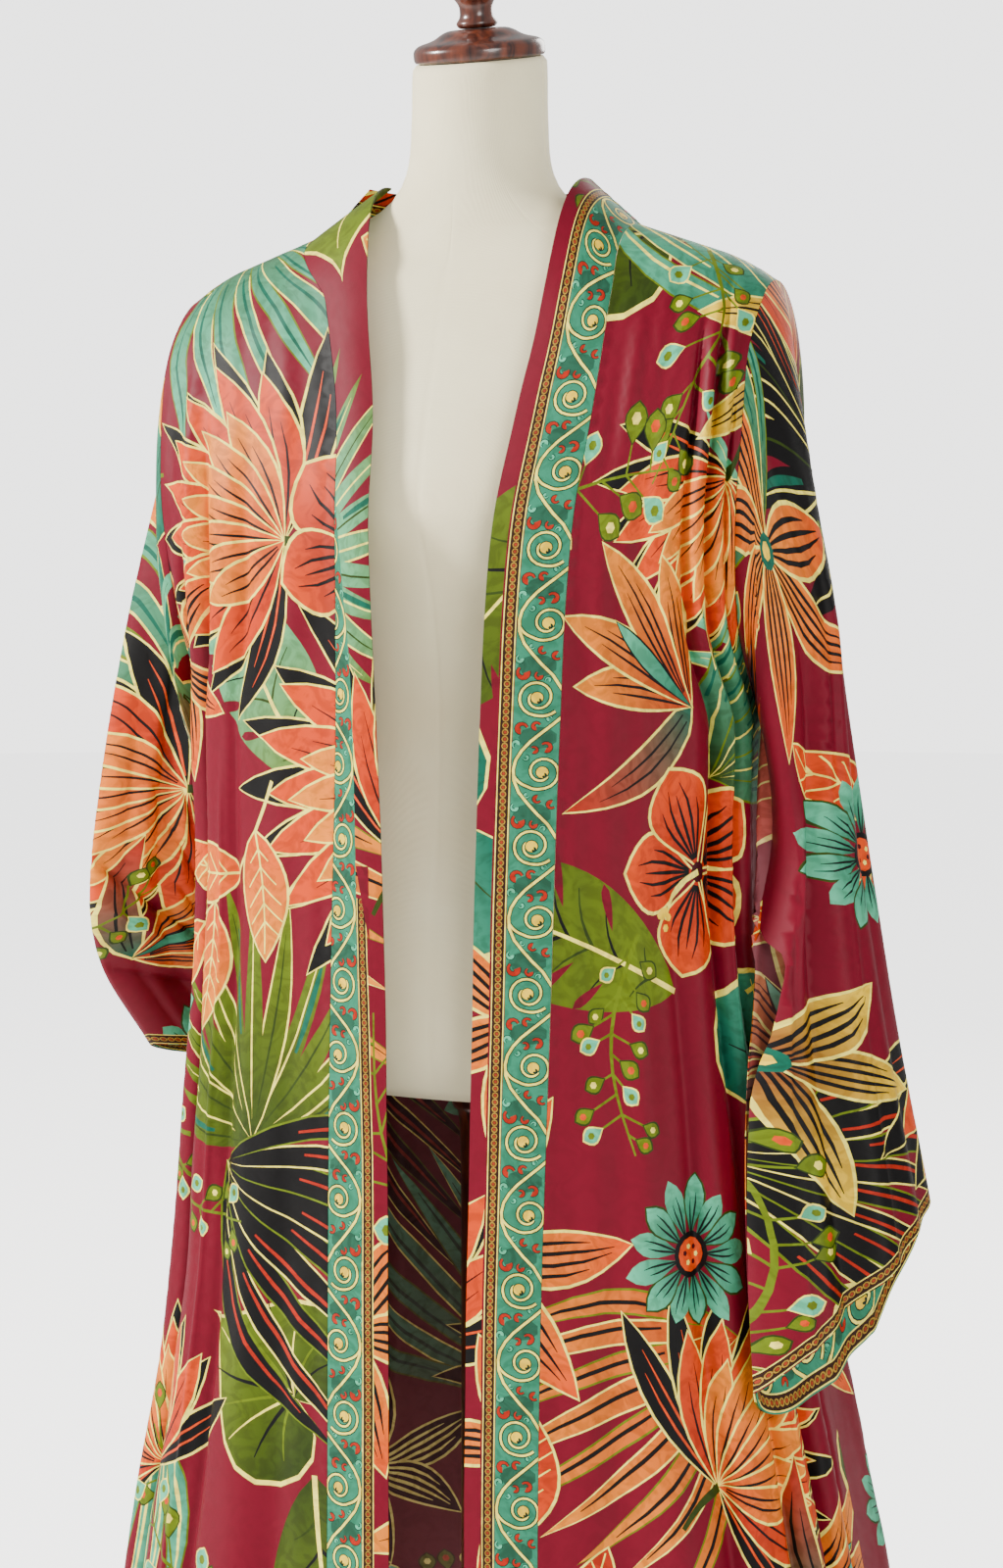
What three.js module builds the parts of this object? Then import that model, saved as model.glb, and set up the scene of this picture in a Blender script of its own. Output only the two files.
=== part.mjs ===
// An open, ankle-length kimono duster of printed silk crepe, worn by a limbless dress form on a round stand.
// Millimetres, +Z up. The wearer faces -Y, and the wearer's left side is +X.
// The origin is the centre of the stand's flat underside.
//
// Every cloth piece is a wall of even thickness. Its outer face is worked out from sections: the body is a
// rounded curve at each height, and each sleeve is a chain of flattened rings from the armhole to the cuff.
// Folds are rows of short tables, added along the section's outward direction.
import * as THREE from "three";

// ---------------------------------------------------------------- driving dimensions
const WALL = 1.5; // thickness of every cloth wall
const SEAM = 0.4; // gap between two pieces at a seam
const SEAT = 0.3; // gap where one hard piece sits on another
const HEM_Z = 160; // height of the hem above the floor
const RIDGE_X = 134; // where the neck band meets the shoulder line
const RIDGE_Z = 1443; // height of the shoulder line there
const SHOULDER_SLOPE = Math.tan((19 * Math.PI) / 180);
const SHOULDER_X = 245; // half width at the dropped shoulder
const DROOP_X = 200; // past this, the shoulder line has left the form and droops
const DROOP_SPAN = 240; // the larger, the less it droops
const SHOULDER_DEPTH = 78; // drop over which the cloth turns from the shoulder line to the chest or back
const SPREAD_DROP = 60; // drop over which columns leave their places on the shoulder line
const ARMPIT_Z = 1060; // lowest point of the armhole
const ROUNDNESS = 2.5; // superellipse exponent of the body's sections
const FOLD_START = 90; // drop over which a fold rises out of the cloth
const EDGE_FADE = 0.07; // share of a panel over which folds die out beside its seams

// Body sections: half width, depth to the front and back, how far round each panel goes, in degrees, and
// how far the section stands to the wearer's left.
const BODY = [
  { z: 1500, half: 245, front: 70, back: 76, wrap: 52, shift: 0 },
  { z: 1400, half: 245, front: 84, back: 90, wrap: 52, shift: 0 },
  { z: 1340, half: 244, front: 106, back: 106, wrap: 52, shift: 0 },
  { z: 1280, half: 243, front: 124, back: 112, wrap: 53, shift: 0 },
  { z: 1220, half: 240, front: 138, back: 112, wrap: 56, shift: 0 },
  { z: 1140, half: 236, front: 140, back: 110, wrap: 66, shift: 0 },
  { z: 1060, half: 233, front: 137, back: 112, wrap: 90, shift: 0 },
  { z: 900, half: 233, front: 137, back: 138, wrap: 90, shift: 2 },
  { z: 750, half: 250, front: 142, back: 148, wrap: 90, shift: 8 },
  { z: 600, half: 267, front: 152, back: 158, wrap: 90, shift: 14 },
  { z: 470, half: 291, front: 160, back: 166, wrap: 90, shift: 18 },
  { z: 360, half: 312, front: 166, back: 172, wrap: 90, shift: 18 },
  { z: 160, half: 332, front: 176, back: 182, wrap: 90, shift: 18 },
];

// The band down each front: x of its seam and of its free edge, and how far that edge stands forward.
const BAND_LEFT = [
  { z: 1500, seam: 134, edge: 92, proud: 0 },
  { z: 1380, seam: 140, edge: 90, proud: 2 },
  { z: 1300, seam: 137, edge: 80, proud: 4 },
  { z: 1200, seam: 127, edge: 67, proud: 4 },
  { z: 1080, seam: 118, edge: 58, proud: 4 },
  { z: 900, seam: 112, edge: 52, proud: 4 },
  { z: 600, seam: 110, edge: 52, proud: 4 },
  { z: 160, seam: 118, edge: 60, proud: 4 },
];
// The wearer's right band is partly rolled under near the top, and shows in full from the hips down.
const BAND_RIGHT = [
  { z: 1500, seam: 134, edge: 96, proud: 0 },
  { z: 1380, seam: 92, edge: 57, proud: 4 },
  { z: 1300, seam: 70, edge: 38, proud: 5 },
  { z: 1200, seam: 62, edge: 32, proud: 6 },
  { z: 1080, seam: 63, edge: 28, proud: 6 },
  { z: 900, seam: 68, edge: 22, proud: 5 },
  { z: 750, seam: 69, edge: 18, proud: 4 },
  { z: 600, seam: 66, edge: 13, proud: 4 },
  { z: 400, seam: 62, edge: 8, proud: 4 },
  { z: 160, seam: 60, edge: 6, proud: 4 },
];
const BAND_CROWN = 2.5; // how far the middle of the band stands off the line between its edges
const BAND_LIFT = 37; // how far the band's free edge stands above the shoulder line beside the neck
const BAND_LIFT_DROP = 110; // drop over which that lift fades out down the front
const NECK_DIP = 20; // how far the back neckline lies below the shoulder line's neck end
const NECK_BAND_RISE = 52; // height of the band behind the neck
const NECK_EDGE_X = 92; // half width of the band's top edge at the shoulder line
const NECK_LEAN = 0.88; // how far back the band's top edge stands, as a share of its foot

// Folds. at: place across the panel, from 0 at the band seam to 1 at the side. width: in the same units.
// from: height where the fold starts. top, hem: its height there and at the hem. lean: its drift to the hem.
const FRONT_LEFT_FOLDS = [
  { at: 0.3, width: 0.08, from: 1180, top: 0, hem: 9, lean: 0.02 },
  { at: 0.52, width: 0.07, from: 1330, top: 3, hem: 12, lean: 0.04 },
  { at: 0.7, width: 0.06, from: 1400, top: 9, hem: 9, lean: 0.03 },
  { at: 0.86, width: 0.055, from: 1400, top: 8, hem: 8, lean: 0.01 },
];
const FRONT_RIGHT_FOLDS = [
  { at: 0.26, width: 0.08, from: 1150, top: 0, hem: 10, lean: -0.02 },
  { at: 0.5, width: 0.08, from: 1330, top: 4, hem: 10, lean: 0.03 },
  { at: 0.7, width: 0.065, from: 1360, top: 6, hem: 14, lean: 0.02 },
  { at: 0.87, width: 0.055, from: 1250, top: 4, hem: 11, lean: 0 },
];
// Across the back, from -1 at the wearer's right side to 1 at the left.
const BACK_FOLDS = [
  { at: -0.84, width: 0.06, from: 1300, top: 4, hem: 12, lean: 0 },
  { at: -0.66, width: 0.065, from: 1380, top: 5, hem: 13, lean: 0.02 },
  { at: -0.45, width: 0.07, from: 1250, top: 2, hem: 16, lean: 0.03 },
  { at: -0.2, width: 0.075, from: 1120, top: 0, hem: 15, lean: 0.02 },
  { at: 0.04, width: 0.07, from: 1200, top: 0, hem: 17, lean: -0.01 },
  { at: 0.28, width: 0.075, from: 1100, top: 0, hem: 14, lean: -0.02 },
  { at: 0.5, width: 0.065, from: 1280, top: 3, hem: 16, lean: -0.02 },
  { at: 0.7, width: 0.065, from: 1380, top: 5, hem: 12, lean: -0.03 },
  { at: 0.86, width: 0.06, from: 1300, top: 4, hem: 12, lean: 0 },
];

// Sleeve rings after the armhole. top: the fold along the arm's upper edge. under: the underarm edge.
// front, back: how far each layer bulges. drop: how far the back layer hangs past the front one.
const SLEEVE_LEFT = [
  { k: 0.1, top: [256, 0, 1360], under: [245, -8, 1010], front: 62, back: 52, drop: 0 },
  { k: 0.25, top: [266, 0, 1260], under: [250, -42, 935], front: 42, back: 24, drop: 0 },
  { k: 0.42, top: [288, 4, 1140], under: [252, -72, 850], front: 30, back: 16, drop: 0 },
  { k: 0.6, top: [311, 8, 1000], under: [253, -92, 760], front: 28, back: 14, drop: 0 },
  { k: 0.78, top: [334, 10, 860], under: [259, -108, 668], front: 34, back: 12, drop: 8 },
  { k: 1, top: [366, 12, 694], under: [270, -124, 566], front: 42, back: 14, drop: 60 },
];
const SLEEVE_RIGHT = [
  { k: 0.1, top: [-264, 0, 1360], under: [-246, 4, 1010], front: 60, back: 58, drop: 0 },
  { k: 0.25, top: [-286, -2, 1260], under: [-251, 24, 955], front: 44, back: 40, drop: 0 },
  { k: 0.42, top: [-316, -6, 1140], under: [-264, 62, 900], front: 36, back: 32, drop: 0 },
  { k: 0.6, top: [-346, -2, 1005], under: [-280, 104, 855], front: 32, back: 30, drop: 0 },
  { k: 0.78, top: [-369, 14, 898], under: [-284, 152, 812], front: 30, back: 32, drop: 0 },
  { k: 0.9, top: [-378, 48, 826], under: [-276, 202, 776], front: 30, back: 34, drop: 6 },
  { k: 1, top: [-356, 92, 752], under: [-256, 246, 730], front: 32, back: 36, drop: 20 },
];
// Sleeve folds. at: place round the ring, 0 to 1 down the front layer and 1 to 2 up the back one.
const SLEEVE_FOLDS = [
  { at: 0.22, width: 0.07, from: 0.2, depth: 8 },
  { at: 0.45, width: 0.07, from: 0.05, depth: 10 },
  { at: 0.7, width: 0.07, from: 0.3, depth: 9 },
  { at: 1.3, width: 0.07, from: 0.3, depth: 3 },
  { at: 1.55, width: 0.07, from: 0.1, depth: 3 },
  { at: 1.8, width: 0.07, from: 0.25, depth: 3 },
];
const ARMHOLE_BLEND = 0.3; // share of the sleeve over which its rings keep the armhole's curve
const TURN_BLEND = 0.4; // share over which its layers turn from front and back to their own directions

// Dress form sections, from its flat bottom to the top of the neck.
const FORM = [
  { z: 760, half: 138, front: 84, back: 92, roundness: 2.3 },
  { z: 769, half: 150, front: 93, back: 102, roundness: 2.3 },
  { z: 800, half: 166, front: 103, back: 118, roundness: 2.3 },
  { z: 870, half: 175, front: 100, back: 124, roundness: 2.3 },
  { z: 960, half: 155, front: 88, back: 100, roundness: 2.2 },
  { z: 1060, half: 122, front: 82, back: 80, roundness: 2.2 },
  { z: 1150, half: 135, front: 98, back: 88, roundness: 2.2 },
  { z: 1220, half: 150, front: 124, back: 92, roundness: 2.2 },
  { z: 1290, half: 171, front: 110, back: 97, roundness: 2.2 },
  { z: 1340, half: 187, front: 92, back: 93, roundness: 2.2 },
  { z: 1380, half: 196, front: 80, back: 82, roundness: 2.2 },
  { z: 1402, half: 193, front: 72, back: 74, roundness: 2.2 },
  { z: 1418, half: 178, front: 62, back: 64, roundness: 1.9 },
  { z: 1440.6, half: 132.5, front: 57, back: 60, roundness: 1.5 },
  { z: 1452, half: 100, front: 56, back: 58, roundness: 1.7 },
  { z: 1466, half: 73, front: 55, back: 57, roundness: 2 },
  { z: 1490, half: 58, front: 55, back: 55, roundness: 2 },
  { z: 1530, half: 54, front: 54, back: 54, roundness: 2 },
  { z: 1572, half: 53, front: 53, back: 53, roundness: 2 },
  { z: 1576, half: 50, front: 50, back: 50, roundness: 2 },
];
const FORM_HEIGHTS = [
  760, 763, 769, 782, 800, 832, 870, 915, 960, 1010, 1060, 1105, 1150, 1185, 1220, 1255, 1290, 1340,
  1380, 1402, 1418, 1430, 1440.6, 1446, 1452, 1459, 1466, 1478, 1490, 1530, 1572, 1576,
];
const FORM_SIDES = 40;
const NECK_LEAN_FROM = 1490; // above this the neck's sections tip forward
const NECK_LEAN_DEGREES = 12;

// Turned wood: radius and height of each ring.
const TURNED_SIDES = 28;
const CAP_PROFILE = [
  { r: 50, z: 0 },
  { r: 52, z: 2.5 },
  { r: 52, z: 10 },
  { r: 48, z: 14 },
  { r: 36, z: 17 },
  { r: 28, z: 22 },
  { r: 22, z: 24 },
];
const FINIAL_PROFILE = [
  { r: 14, z: 0 },
  { r: 17, z: 4 },
  { r: 13, z: 9 },
  { r: 13, z: 18 },
  { r: 20, z: 27 },
  { r: 25, z: 38 },
  { r: 25, z: 48 },
  { r: 19, z: 58 },
  { r: 9, z: 64 },
];
const BASE_PROFILE = [
  { r: 150, z: 0 },
  { r: 152, z: 4 },
  { r: 152, z: 14 },
  { r: 144, z: 20 },
  { r: 120, z: 24 },
  { r: 60, z: 30 },
  { r: 34, z: 40 },
  { r: 27, z: 42 },
];
const POLE_PROFILE = [
  { r: 22, z: 42.3 },
  { r: 17, z: 58 },
  { r: 16, z: 300 },
  { r: 21, z: 306 },
  { r: 21, z: 318 },
  { r: 16, z: 324 },
  { r: 16, z: 735 },
  { r: 24, z: 742 },
  { r: 24, z: 759.7 },
];

// Grid sizes.
const ARM_ROWS = 8; // rows of quads from the shoulder line to the armpit
const ARM_ROW_CROWDING = 1.9; // the larger, the closer they lie beside the shoulder line
const SKIRT_ROWS = 12; // rows from the armpit to the hem
const FRONT_QUADS = 14;
const BACK_QUADS = 28;
const BAND_QUADS = 4;
const NECK_ROWS = 3;
const SLEEVE_QUADS = 16;
const FACING_ROWS = 1;

// ---------------------------------------------------------------- materials
const silk = new THREE.MeshStandardMaterial({ color: 0x8e1f33, roughness: 0.48, metalness: 0 });
const border = new THREE.MeshStandardMaterial({ color: 0x3f8f6c, roughness: 0.5, metalness: 0 });
const linen = new THREE.MeshStandardMaterial({ color: 0xe9dcc0, roughness: 0.85, metalness: 0 });
const mahogany = new THREE.MeshStandardMaterial({ color: 0x4a1d12, roughness: 0.25, metalness: 0 });
silk.name = "silk_print";
border.name = "silk_border";
linen.name = "form_cover";
mahogany.name = "dark_wood";

// ---------------------------------------------------------------- small helpers
const lerp = THREE.MathUtils.lerp;
const clamp = THREE.MathUtils.clamp;
const smooth = (x) => THREE.MathUtils.smoothstep(x, 0, 1);
const radians = THREE.MathUtils.degToRad;
const steps = (n) => Array.from({ length: n + 1 }, (_, i) => i / n);
const vec = (x, y, z) => new THREE.Vector3(x, y, z);

// A smooth curve through a table's rows: the value of column `name` where column `along` is x.
function column(rows, along, name) {
  const sorted = [...rows].sort((a, b) => a[along] - b[along]);
  const xs = sorted.map((row) => row[along]);
  const ys = sorted.map((row) => row[name]);
  const slopes = xs.map((_, i) => {
    const a = Math.max(i - 1, 0);
    const b = Math.min(i + 1, xs.length - 1);
    return (ys[b] - ys[a]) / (xs[b] - xs[a]);
  });
  return (x) => {
    if (x <= xs[0]) return ys[0];
    if (x >= xs.at(-1)) return ys.at(-1);
    const i = xs.findIndex((value) => value > x) - 1;
    const h = xs[i + 1] - xs[i];
    const t = (x - xs[i]) / h;
    const eased = lerp(ys[i], ys[i + 1], t * t * (3 - 2 * t));
    return eased + h * t * (1 - t) * (slopes[i] * (1 - t) - slopes[i + 1] * t);
  };
}

// Outward normals of a grid of points, from each point's neighbours.
function normalsOf(grid, closed) {
  const last = grid[0].length - 1;
  return grid.map((row, i) =>
    row.map((_, j) => {
      const up = grid[Math.max(i - 1, 0)][j];
      const down = grid[Math.min(i + 1, grid.length - 1)][j];
      const before = closed && j === 0 ? row[last] : row[Math.max(j - 1, 0)];
      const after = closed && j === last ? row[0] : row[Math.min(j + 1, last)];
      const across = after.clone().sub(before);
      return down.clone().sub(up).cross(across).normalize();
    }),
  );
}

// Keeps a normal out of the y direction, so that two walls which meet at y = 0 stay apart.
function flatten(normal) {
  normal.y = 0;
  normal.normalize();
}

function solid(points, faces) {
  const geometry = new THREE.BufferGeometry();
  const flat = points.flatMap((p) => [p.x, p.y, p.z]);
  geometry.setAttribute("position", new THREE.Float32BufferAttribute(flat, 3));
  geometry.setIndex(faces);
  geometry.computeVertexNormals();
  return geometry;
}

// A closed wall: the grid is its outer face, seen with rows going down and columns going right.
function wall(grid, normals, closed = false) {
  const rows = grid.length;
  const cols = grid[0].length;
  const inner = grid.map((row, i) =>
    row.map((p, j) => p.clone().addScaledVector(normals[i][j], -WALL)),
  );
  const at = (side, i, j) => (side * rows + i) * cols + (j % cols);
  const faces = [];
  const quad = (a, b, c, d) => faces.push(a, b, c, a, c, d);
  const quads = closed ? cols : cols - 1;
  const end = rows - 1;
  for (let j = 0; j < quads; j++) {
    for (let i = 0; i < end; i++) {
      quad(at(0, i, j), at(0, i + 1, j), at(0, i + 1, j + 1), at(0, i, j + 1));
      quad(at(1, i, j), at(1, i, j + 1), at(1, i + 1, j + 1), at(1, i + 1, j));
    }
    quad(at(0, 0, j), at(0, 0, j + 1), at(1, 0, j + 1), at(1, 0, j));
    quad(at(0, end, j + 1), at(0, end, j), at(1, end, j), at(1, end, j + 1));
  }
  if (!closed) {
    const edge = cols - 1;
    for (let i = 0; i < end; i++) {
      quad(at(0, i + 1, 0), at(0, i, 0), at(1, i, 0), at(1, i + 1, 0));
      quad(at(0, i, edge), at(0, i + 1, edge), at(1, i + 1, edge), at(1, i, edge));
    }
  }
  return solid([...grid.flat(), ...inner.flat()], faces);
}

// A closed solid through horizontal rings, from the bottom ring to the top one.
function loft(rings) {
  const count = rings[0].length;
  const points = rings.flat();
  const faces = [];
  for (let i = 0; i < rings.length - 1; i++)
    for (let j = 0; j < count; j++) {
      const next = (j + 1) % count;
      const [a, b] = [i * count + j, i * count + next];
      faces.push(a, b, b + count, a, b + count, a + count);
    }
  for (const [ring, flip] of [[rings[0], true], [rings.at(-1), false]]) {
    const start = flip ? 0 : (rings.length - 1) * count;
    const middle = ring.reduce((sum, p) => sum.add(p), vec(0, 0, 0)).divideScalar(count);
    points.push(middle);
    for (let j = 0; j < count; j++) {
      const pair = [start + j, start + ((j + 1) % count)];
      if (flip) pair.reverse();
      faces.push(points.length - 1, ...pair);
    }
  }
  return solid(points, faces);
}

// A turned piece: rows of radius and height, leant forward about the x axis at `seat`.
function turned(profile, seat = vec(0, 0, 0), lean = 0) {
  const rings = profile.map(({ r, z }) =>
    steps(TURNED_SIDES).slice(0, -1).map((t) => {
      const a = 2 * Math.PI * t;
      const p = vec(r * Math.cos(a), r * Math.sin(a), z);
      return p.applyAxisAngle(vec(1, 0, 0), lean).add(seat);
    }),
  );
  return loft(rings);
}

const part = new THREE.Group();
part.name = "kimono_duster_on_form";
function add(name, geometry, material) {
  const mesh = new THREE.Mesh(geometry, material);
  mesh.name = name;
  part.add(mesh);
}

// ---------------------------------------------------------------- the body's surface
const half = column(BODY, "z", "half");
const frontDepth = column(BODY, "z", "front");
const backDepth = column(BODY, "z", "back");
const bodyShift = column(BODY, "z", "shift");
const wrapCurve = column(BODY, "z", "wrap");
const wrap = (z) => Math.min(wrapCurve(z), 90);
const POWER = 2 / ROUNDNESS;

// Height of the shoulder line at x, carried on over the neck, and drooping past the form's shoulder.
function ridgeZ(x) {
  const droop = Math.max(0, Math.abs(x) - DROOP_X) ** 2 / DROOP_SPAN;
  return RIDGE_Z - (Math.abs(x) - RIDGE_X) * SHOULDER_SLOPE - droop;
}

// How far the cloth has turned from the shoulder line (0) to the chest or back (1), `drop` below that line.
function turnedDown(drop) {
  return Math.sqrt(1 - (1 - clamp(drop / SHOULDER_DEPTH, 0, 1)) ** 2);
}

// Angle round a section at which it reaches x, measured from the section's own middle.
function angleAt(x, z) {
  const reach = Math.sin(radians(wrap(z)));
  return Math.asin(clamp((x / half(z)) ** (1 / POWER) * reach, 0, 1));
}

// Summed height of a table's folds at place u and height z.
function foldHeight(folds, u, z) {
  return folds.reduce((sum, fold) => {
    const down = clamp((fold.from - z) / (fold.from - HEM_Z), 0, 1);
    const start = smooth(clamp((fold.from - z) / FOLD_START, 0, 1));
    const off = (u - fold.at - fold.lean * down) / fold.width;
    return sum + lerp(fold.top, fold.hem, down) * start * Math.exp(-off * off);
  }, 0);
}

// A point of the body: angle round the section, x where the column starts on the shoulder line, height,
// wearer's side (1 left, -1 right), face (-1 front, 1 back) and the height of the folds there.
function bodyPoint({ angle, startX, startZ, z, side, face, fold }) {
  const depth = face < 0 ? frontDepth(z) : backDepth(z);
  const spread = half(z) * (Math.sin(angle) / Math.sin(radians(wrap(z)))) ** POWER;
  const x = lerp(startX, spread, smooth(clamp((startZ - z) / SPREAD_DROP, 0, 1)));
  const y = depth * Math.max(Math.cos(angle), 0) ** POWER * turnedDown(ridgeZ(x) - z);
  const away = new THREE.Vector2(x / half(z) ** 2, y / depth ** 2).normalize();
  const out = side * (x + away.x * fold) + bodyShift(z);
  return vec(out, face * Math.max(y + away.y * fold, SEAM / 2), z);
}

// Height of each row, from a column's top to the armpit's level and on to the hem.
function rowHeights(top) {
  const upper = steps(ARM_ROWS).map((t) => lerp(top, ARMPIT_Z, t ** ARM_ROW_CROWDING));
  const lower = steps(SKIRT_ROWS).slice(1).map((t) => lerp(ARMPIT_Z, HEM_Z, t));
  return [...upper, ...lower];
}

// Folds die out at a panel's own edges, so that its seams stay straight.
const fadeEnds = (s, width) => smooth(clamp(Math.min(s, 1 - s) / width, 0, 1));

// ---------------------------------------------------------------- fronts
// Columns run from the band seam (s = 0) to the side seam and armhole (s = 1).
function frontColumns(side, band, folds) {
  const seamX = column(band, "z", "seam");
  return steps(FRONT_QUADS).map((s) => {
    const startX = lerp(RIDGE_X, SHOULDER_X, s);
    const startZ = ridgeZ(startX);
    return rowHeights(startZ).map((z) => {
      const angle = lerp(angleAt(seamX(z) - side * bodyShift(z), z), radians(wrap(z)), s);
      const fold = foldHeight(folds, s, z) * fadeEnds(s, EDGE_FADE);
      return bodyPoint({ angle, startX, startZ, z, side, face: -1, fold });
    });
  });
}
const toRows = (columns) => columns[0].map((_, i) => columns.map((column) => column[i]));

// Front panels: seen from the front, the wearer's right one has its side seam at the left.
const frontLeft = toRows(frontColumns(1, BAND_LEFT, FRONT_LEFT_FOLDS));
const frontRight = toRows(frontColumns(-1, BAND_RIGHT, FRONT_RIGHT_FOLDS).reverse());
const frontLeftNormals = normalsOf(frontLeft);
const frontRightNormals = normalsOf(frontRight);

// The shoulder seam and the side seam lie at y = 0 and meet the back there.
function squareSeams(normals, sideColumn) {
  normals[0].forEach(flatten);
  normals.forEach((row, i) => {
    if (i >= ARM_ROWS) flatten(row[sideColumn]);
  });
}
squareSeams(frontLeftNormals, FRONT_QUADS);
squareSeams(frontRightNormals, 0);
add("front_left", wall(frontLeft, frontLeftNormals), silk);
add("front_right", wall(frontRight, frontRightNormals), silk);

// ---------------------------------------------------------------- back
// Columns run from the wearer's left side to the right one. A quarter of them lie on each shoulder,
// and the middle half on the curved neckline.
const backColumns = steps(BACK_QUADS).map((t) => {
  const u = 1 - 2 * t;
  const side = Math.sign(u) || 1;
  const out = Math.abs(u);
  const onNeck = out < 0.5;
  const startX = onNeck ? 2 * out * RIDGE_X : lerp(RIDGE_X, SHOULDER_X, 2 * out - 1);
  const startZ = onNeck ? RIDGE_Z - NECK_DIP * (1 - (2 * out) ** 2) : ridgeZ(startX);
  return rowHeights(startZ).map((z) => {
    const fold = foldHeight(BACK_FOLDS, u, z) * fadeEnds((1 - out) / 2, EDGE_FADE / 2);
    const angle = out * radians(wrap(z));
    return bodyPoint({ angle, startX, startZ, z, side, face: 1, fold });
  });
});
const back = toRows(backColumns);
const backNormals = normalsOf(back);
backNormals[0].forEach((normal, j) => {
  if (Math.abs(1 - (2 * j) / BACK_QUADS) >= 0.5) flatten(normal);
});
backNormals.forEach((row, i) => {
  if (i < ARM_ROWS) return;
  flatten(row[0]);
  flatten(row[BACK_QUADS]);
});
add("back_panel", wall(back, backNormals), silk);

// ---------------------------------------------------------------- neck band
// Front bands: each row runs from the panel's seam to the free edge, which stands up beside the neck.
function frontBand(side, band, panel, panelNormals, seamColumn) {
  const edgeX = column(band, "z", "edge");
  const proud = column(band, "z", "proud");
  const rows = panel.map((row, i) => {
    const seam = row[seamColumn].clone();
    seam.x -= side * SEAM;
    const z = seam.z;
    const drop = RIDGE_Z - z;
    const x = edgeX(z);
    const lift = BAND_LIFT * (1 - smooth(clamp(drop / BAND_LIFT_DROP, 0, 1)));
    const angle = angleAt(Math.abs(side * x - bodyShift(z)), z);
    const depth = frontDepth(z) * Math.cos(angle) ** POWER * turnedDown(drop);
    const edge = vec(side * x, Math.min(-depth - proud(z) * turnedDown(drop), -SEAM / 2), z + lift);
    return steps(BAND_QUADS).map((t) => {
      const p = seam.clone().lerp(edge, t);
      p.y -= BAND_CROWN * Math.sin(Math.PI * t) * turnedDown(drop);
      return p;
    });
  });
  const flip = side > 0;
  const grid = rows.map((row) => (flip ? [...row].reverse() : row));
  const normals = normalsOf(grid);
  normals.forEach((row, i) => row[flip ? BAND_QUADS : 0].copy(panelNormals[i][seamColumn]));
  normals[0].forEach(flatten);
  return wall(grid, normals);
}
const leftBand = frontBand(1, BAND_LEFT, frontLeft, frontLeftNormals, 0);
const rightBand = frontBand(-1, BAND_RIGHT, frontRight, frontRightNormals, FRONT_QUADS);
add("band_left", leftBand, border);
add("band_right", rightBand, border);

// The band behind the neck stands on the back's neckline and leans in a little.
const neckStart = BACK_QUADS / 4;
const neckline = back[0].slice(neckStart, BACK_QUADS - neckStart + 1);
const neckGrid = steps(NECK_ROWS).map((t) =>
  neckline.map((foot) => {
    const middle = 1 - (foot.x / RIDGE_X) ** 2;
    const rise = lerp(BAND_LIFT, NECK_BAND_RISE, middle);
    const top = vec((foot.x * NECK_EDGE_X) / RIDGE_X, foot.y * NECK_LEAN, foot.z + rise);
    const p = top.lerp(vec(foot.x, foot.y, foot.z + SEAM), t);
    p.y = Math.max(p.y, SEAM / 2);
    return p;
  }),
);
const neckNormals = normalsOf(neckGrid);
neckNormals.forEach((row) => {
  flatten(row[0]);
  flatten(row.at(-1));
});
add("band_neck", wall(neckGrid, neckNormals), border);

// ---------------------------------------------------------------- sleeves
// The armhole's edge down one panel, halved so that rings have enough points. Works on points or normals.
function armholeEdge(rows, columnIndex) {
  const corners = rows.slice(0, ARM_ROWS + 1).map((row) => row[columnIndex]);
  return steps(ARM_ROWS * 2).map((_, i) => {
    const low = corners[Math.floor(i / 2)];
    const high = corners[Math.ceil(i / 2)];
    return low.clone().lerp(high, 0.5);
  });
}

// One loop from two layers' rows: down the front layer and up the back one, seen from outside.
function loopOf(side, front, rear) {
  const loop = [...front, ...rear.slice(1, -1).reverse()];
  return side > 0 ? loop.reverse() : loop;
}

// A layer's bulge along the ring, v from the top fold to the underarm.
const bulgeShape = (v) => (4 * v * (1 - v)) ** 0.6;

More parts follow.
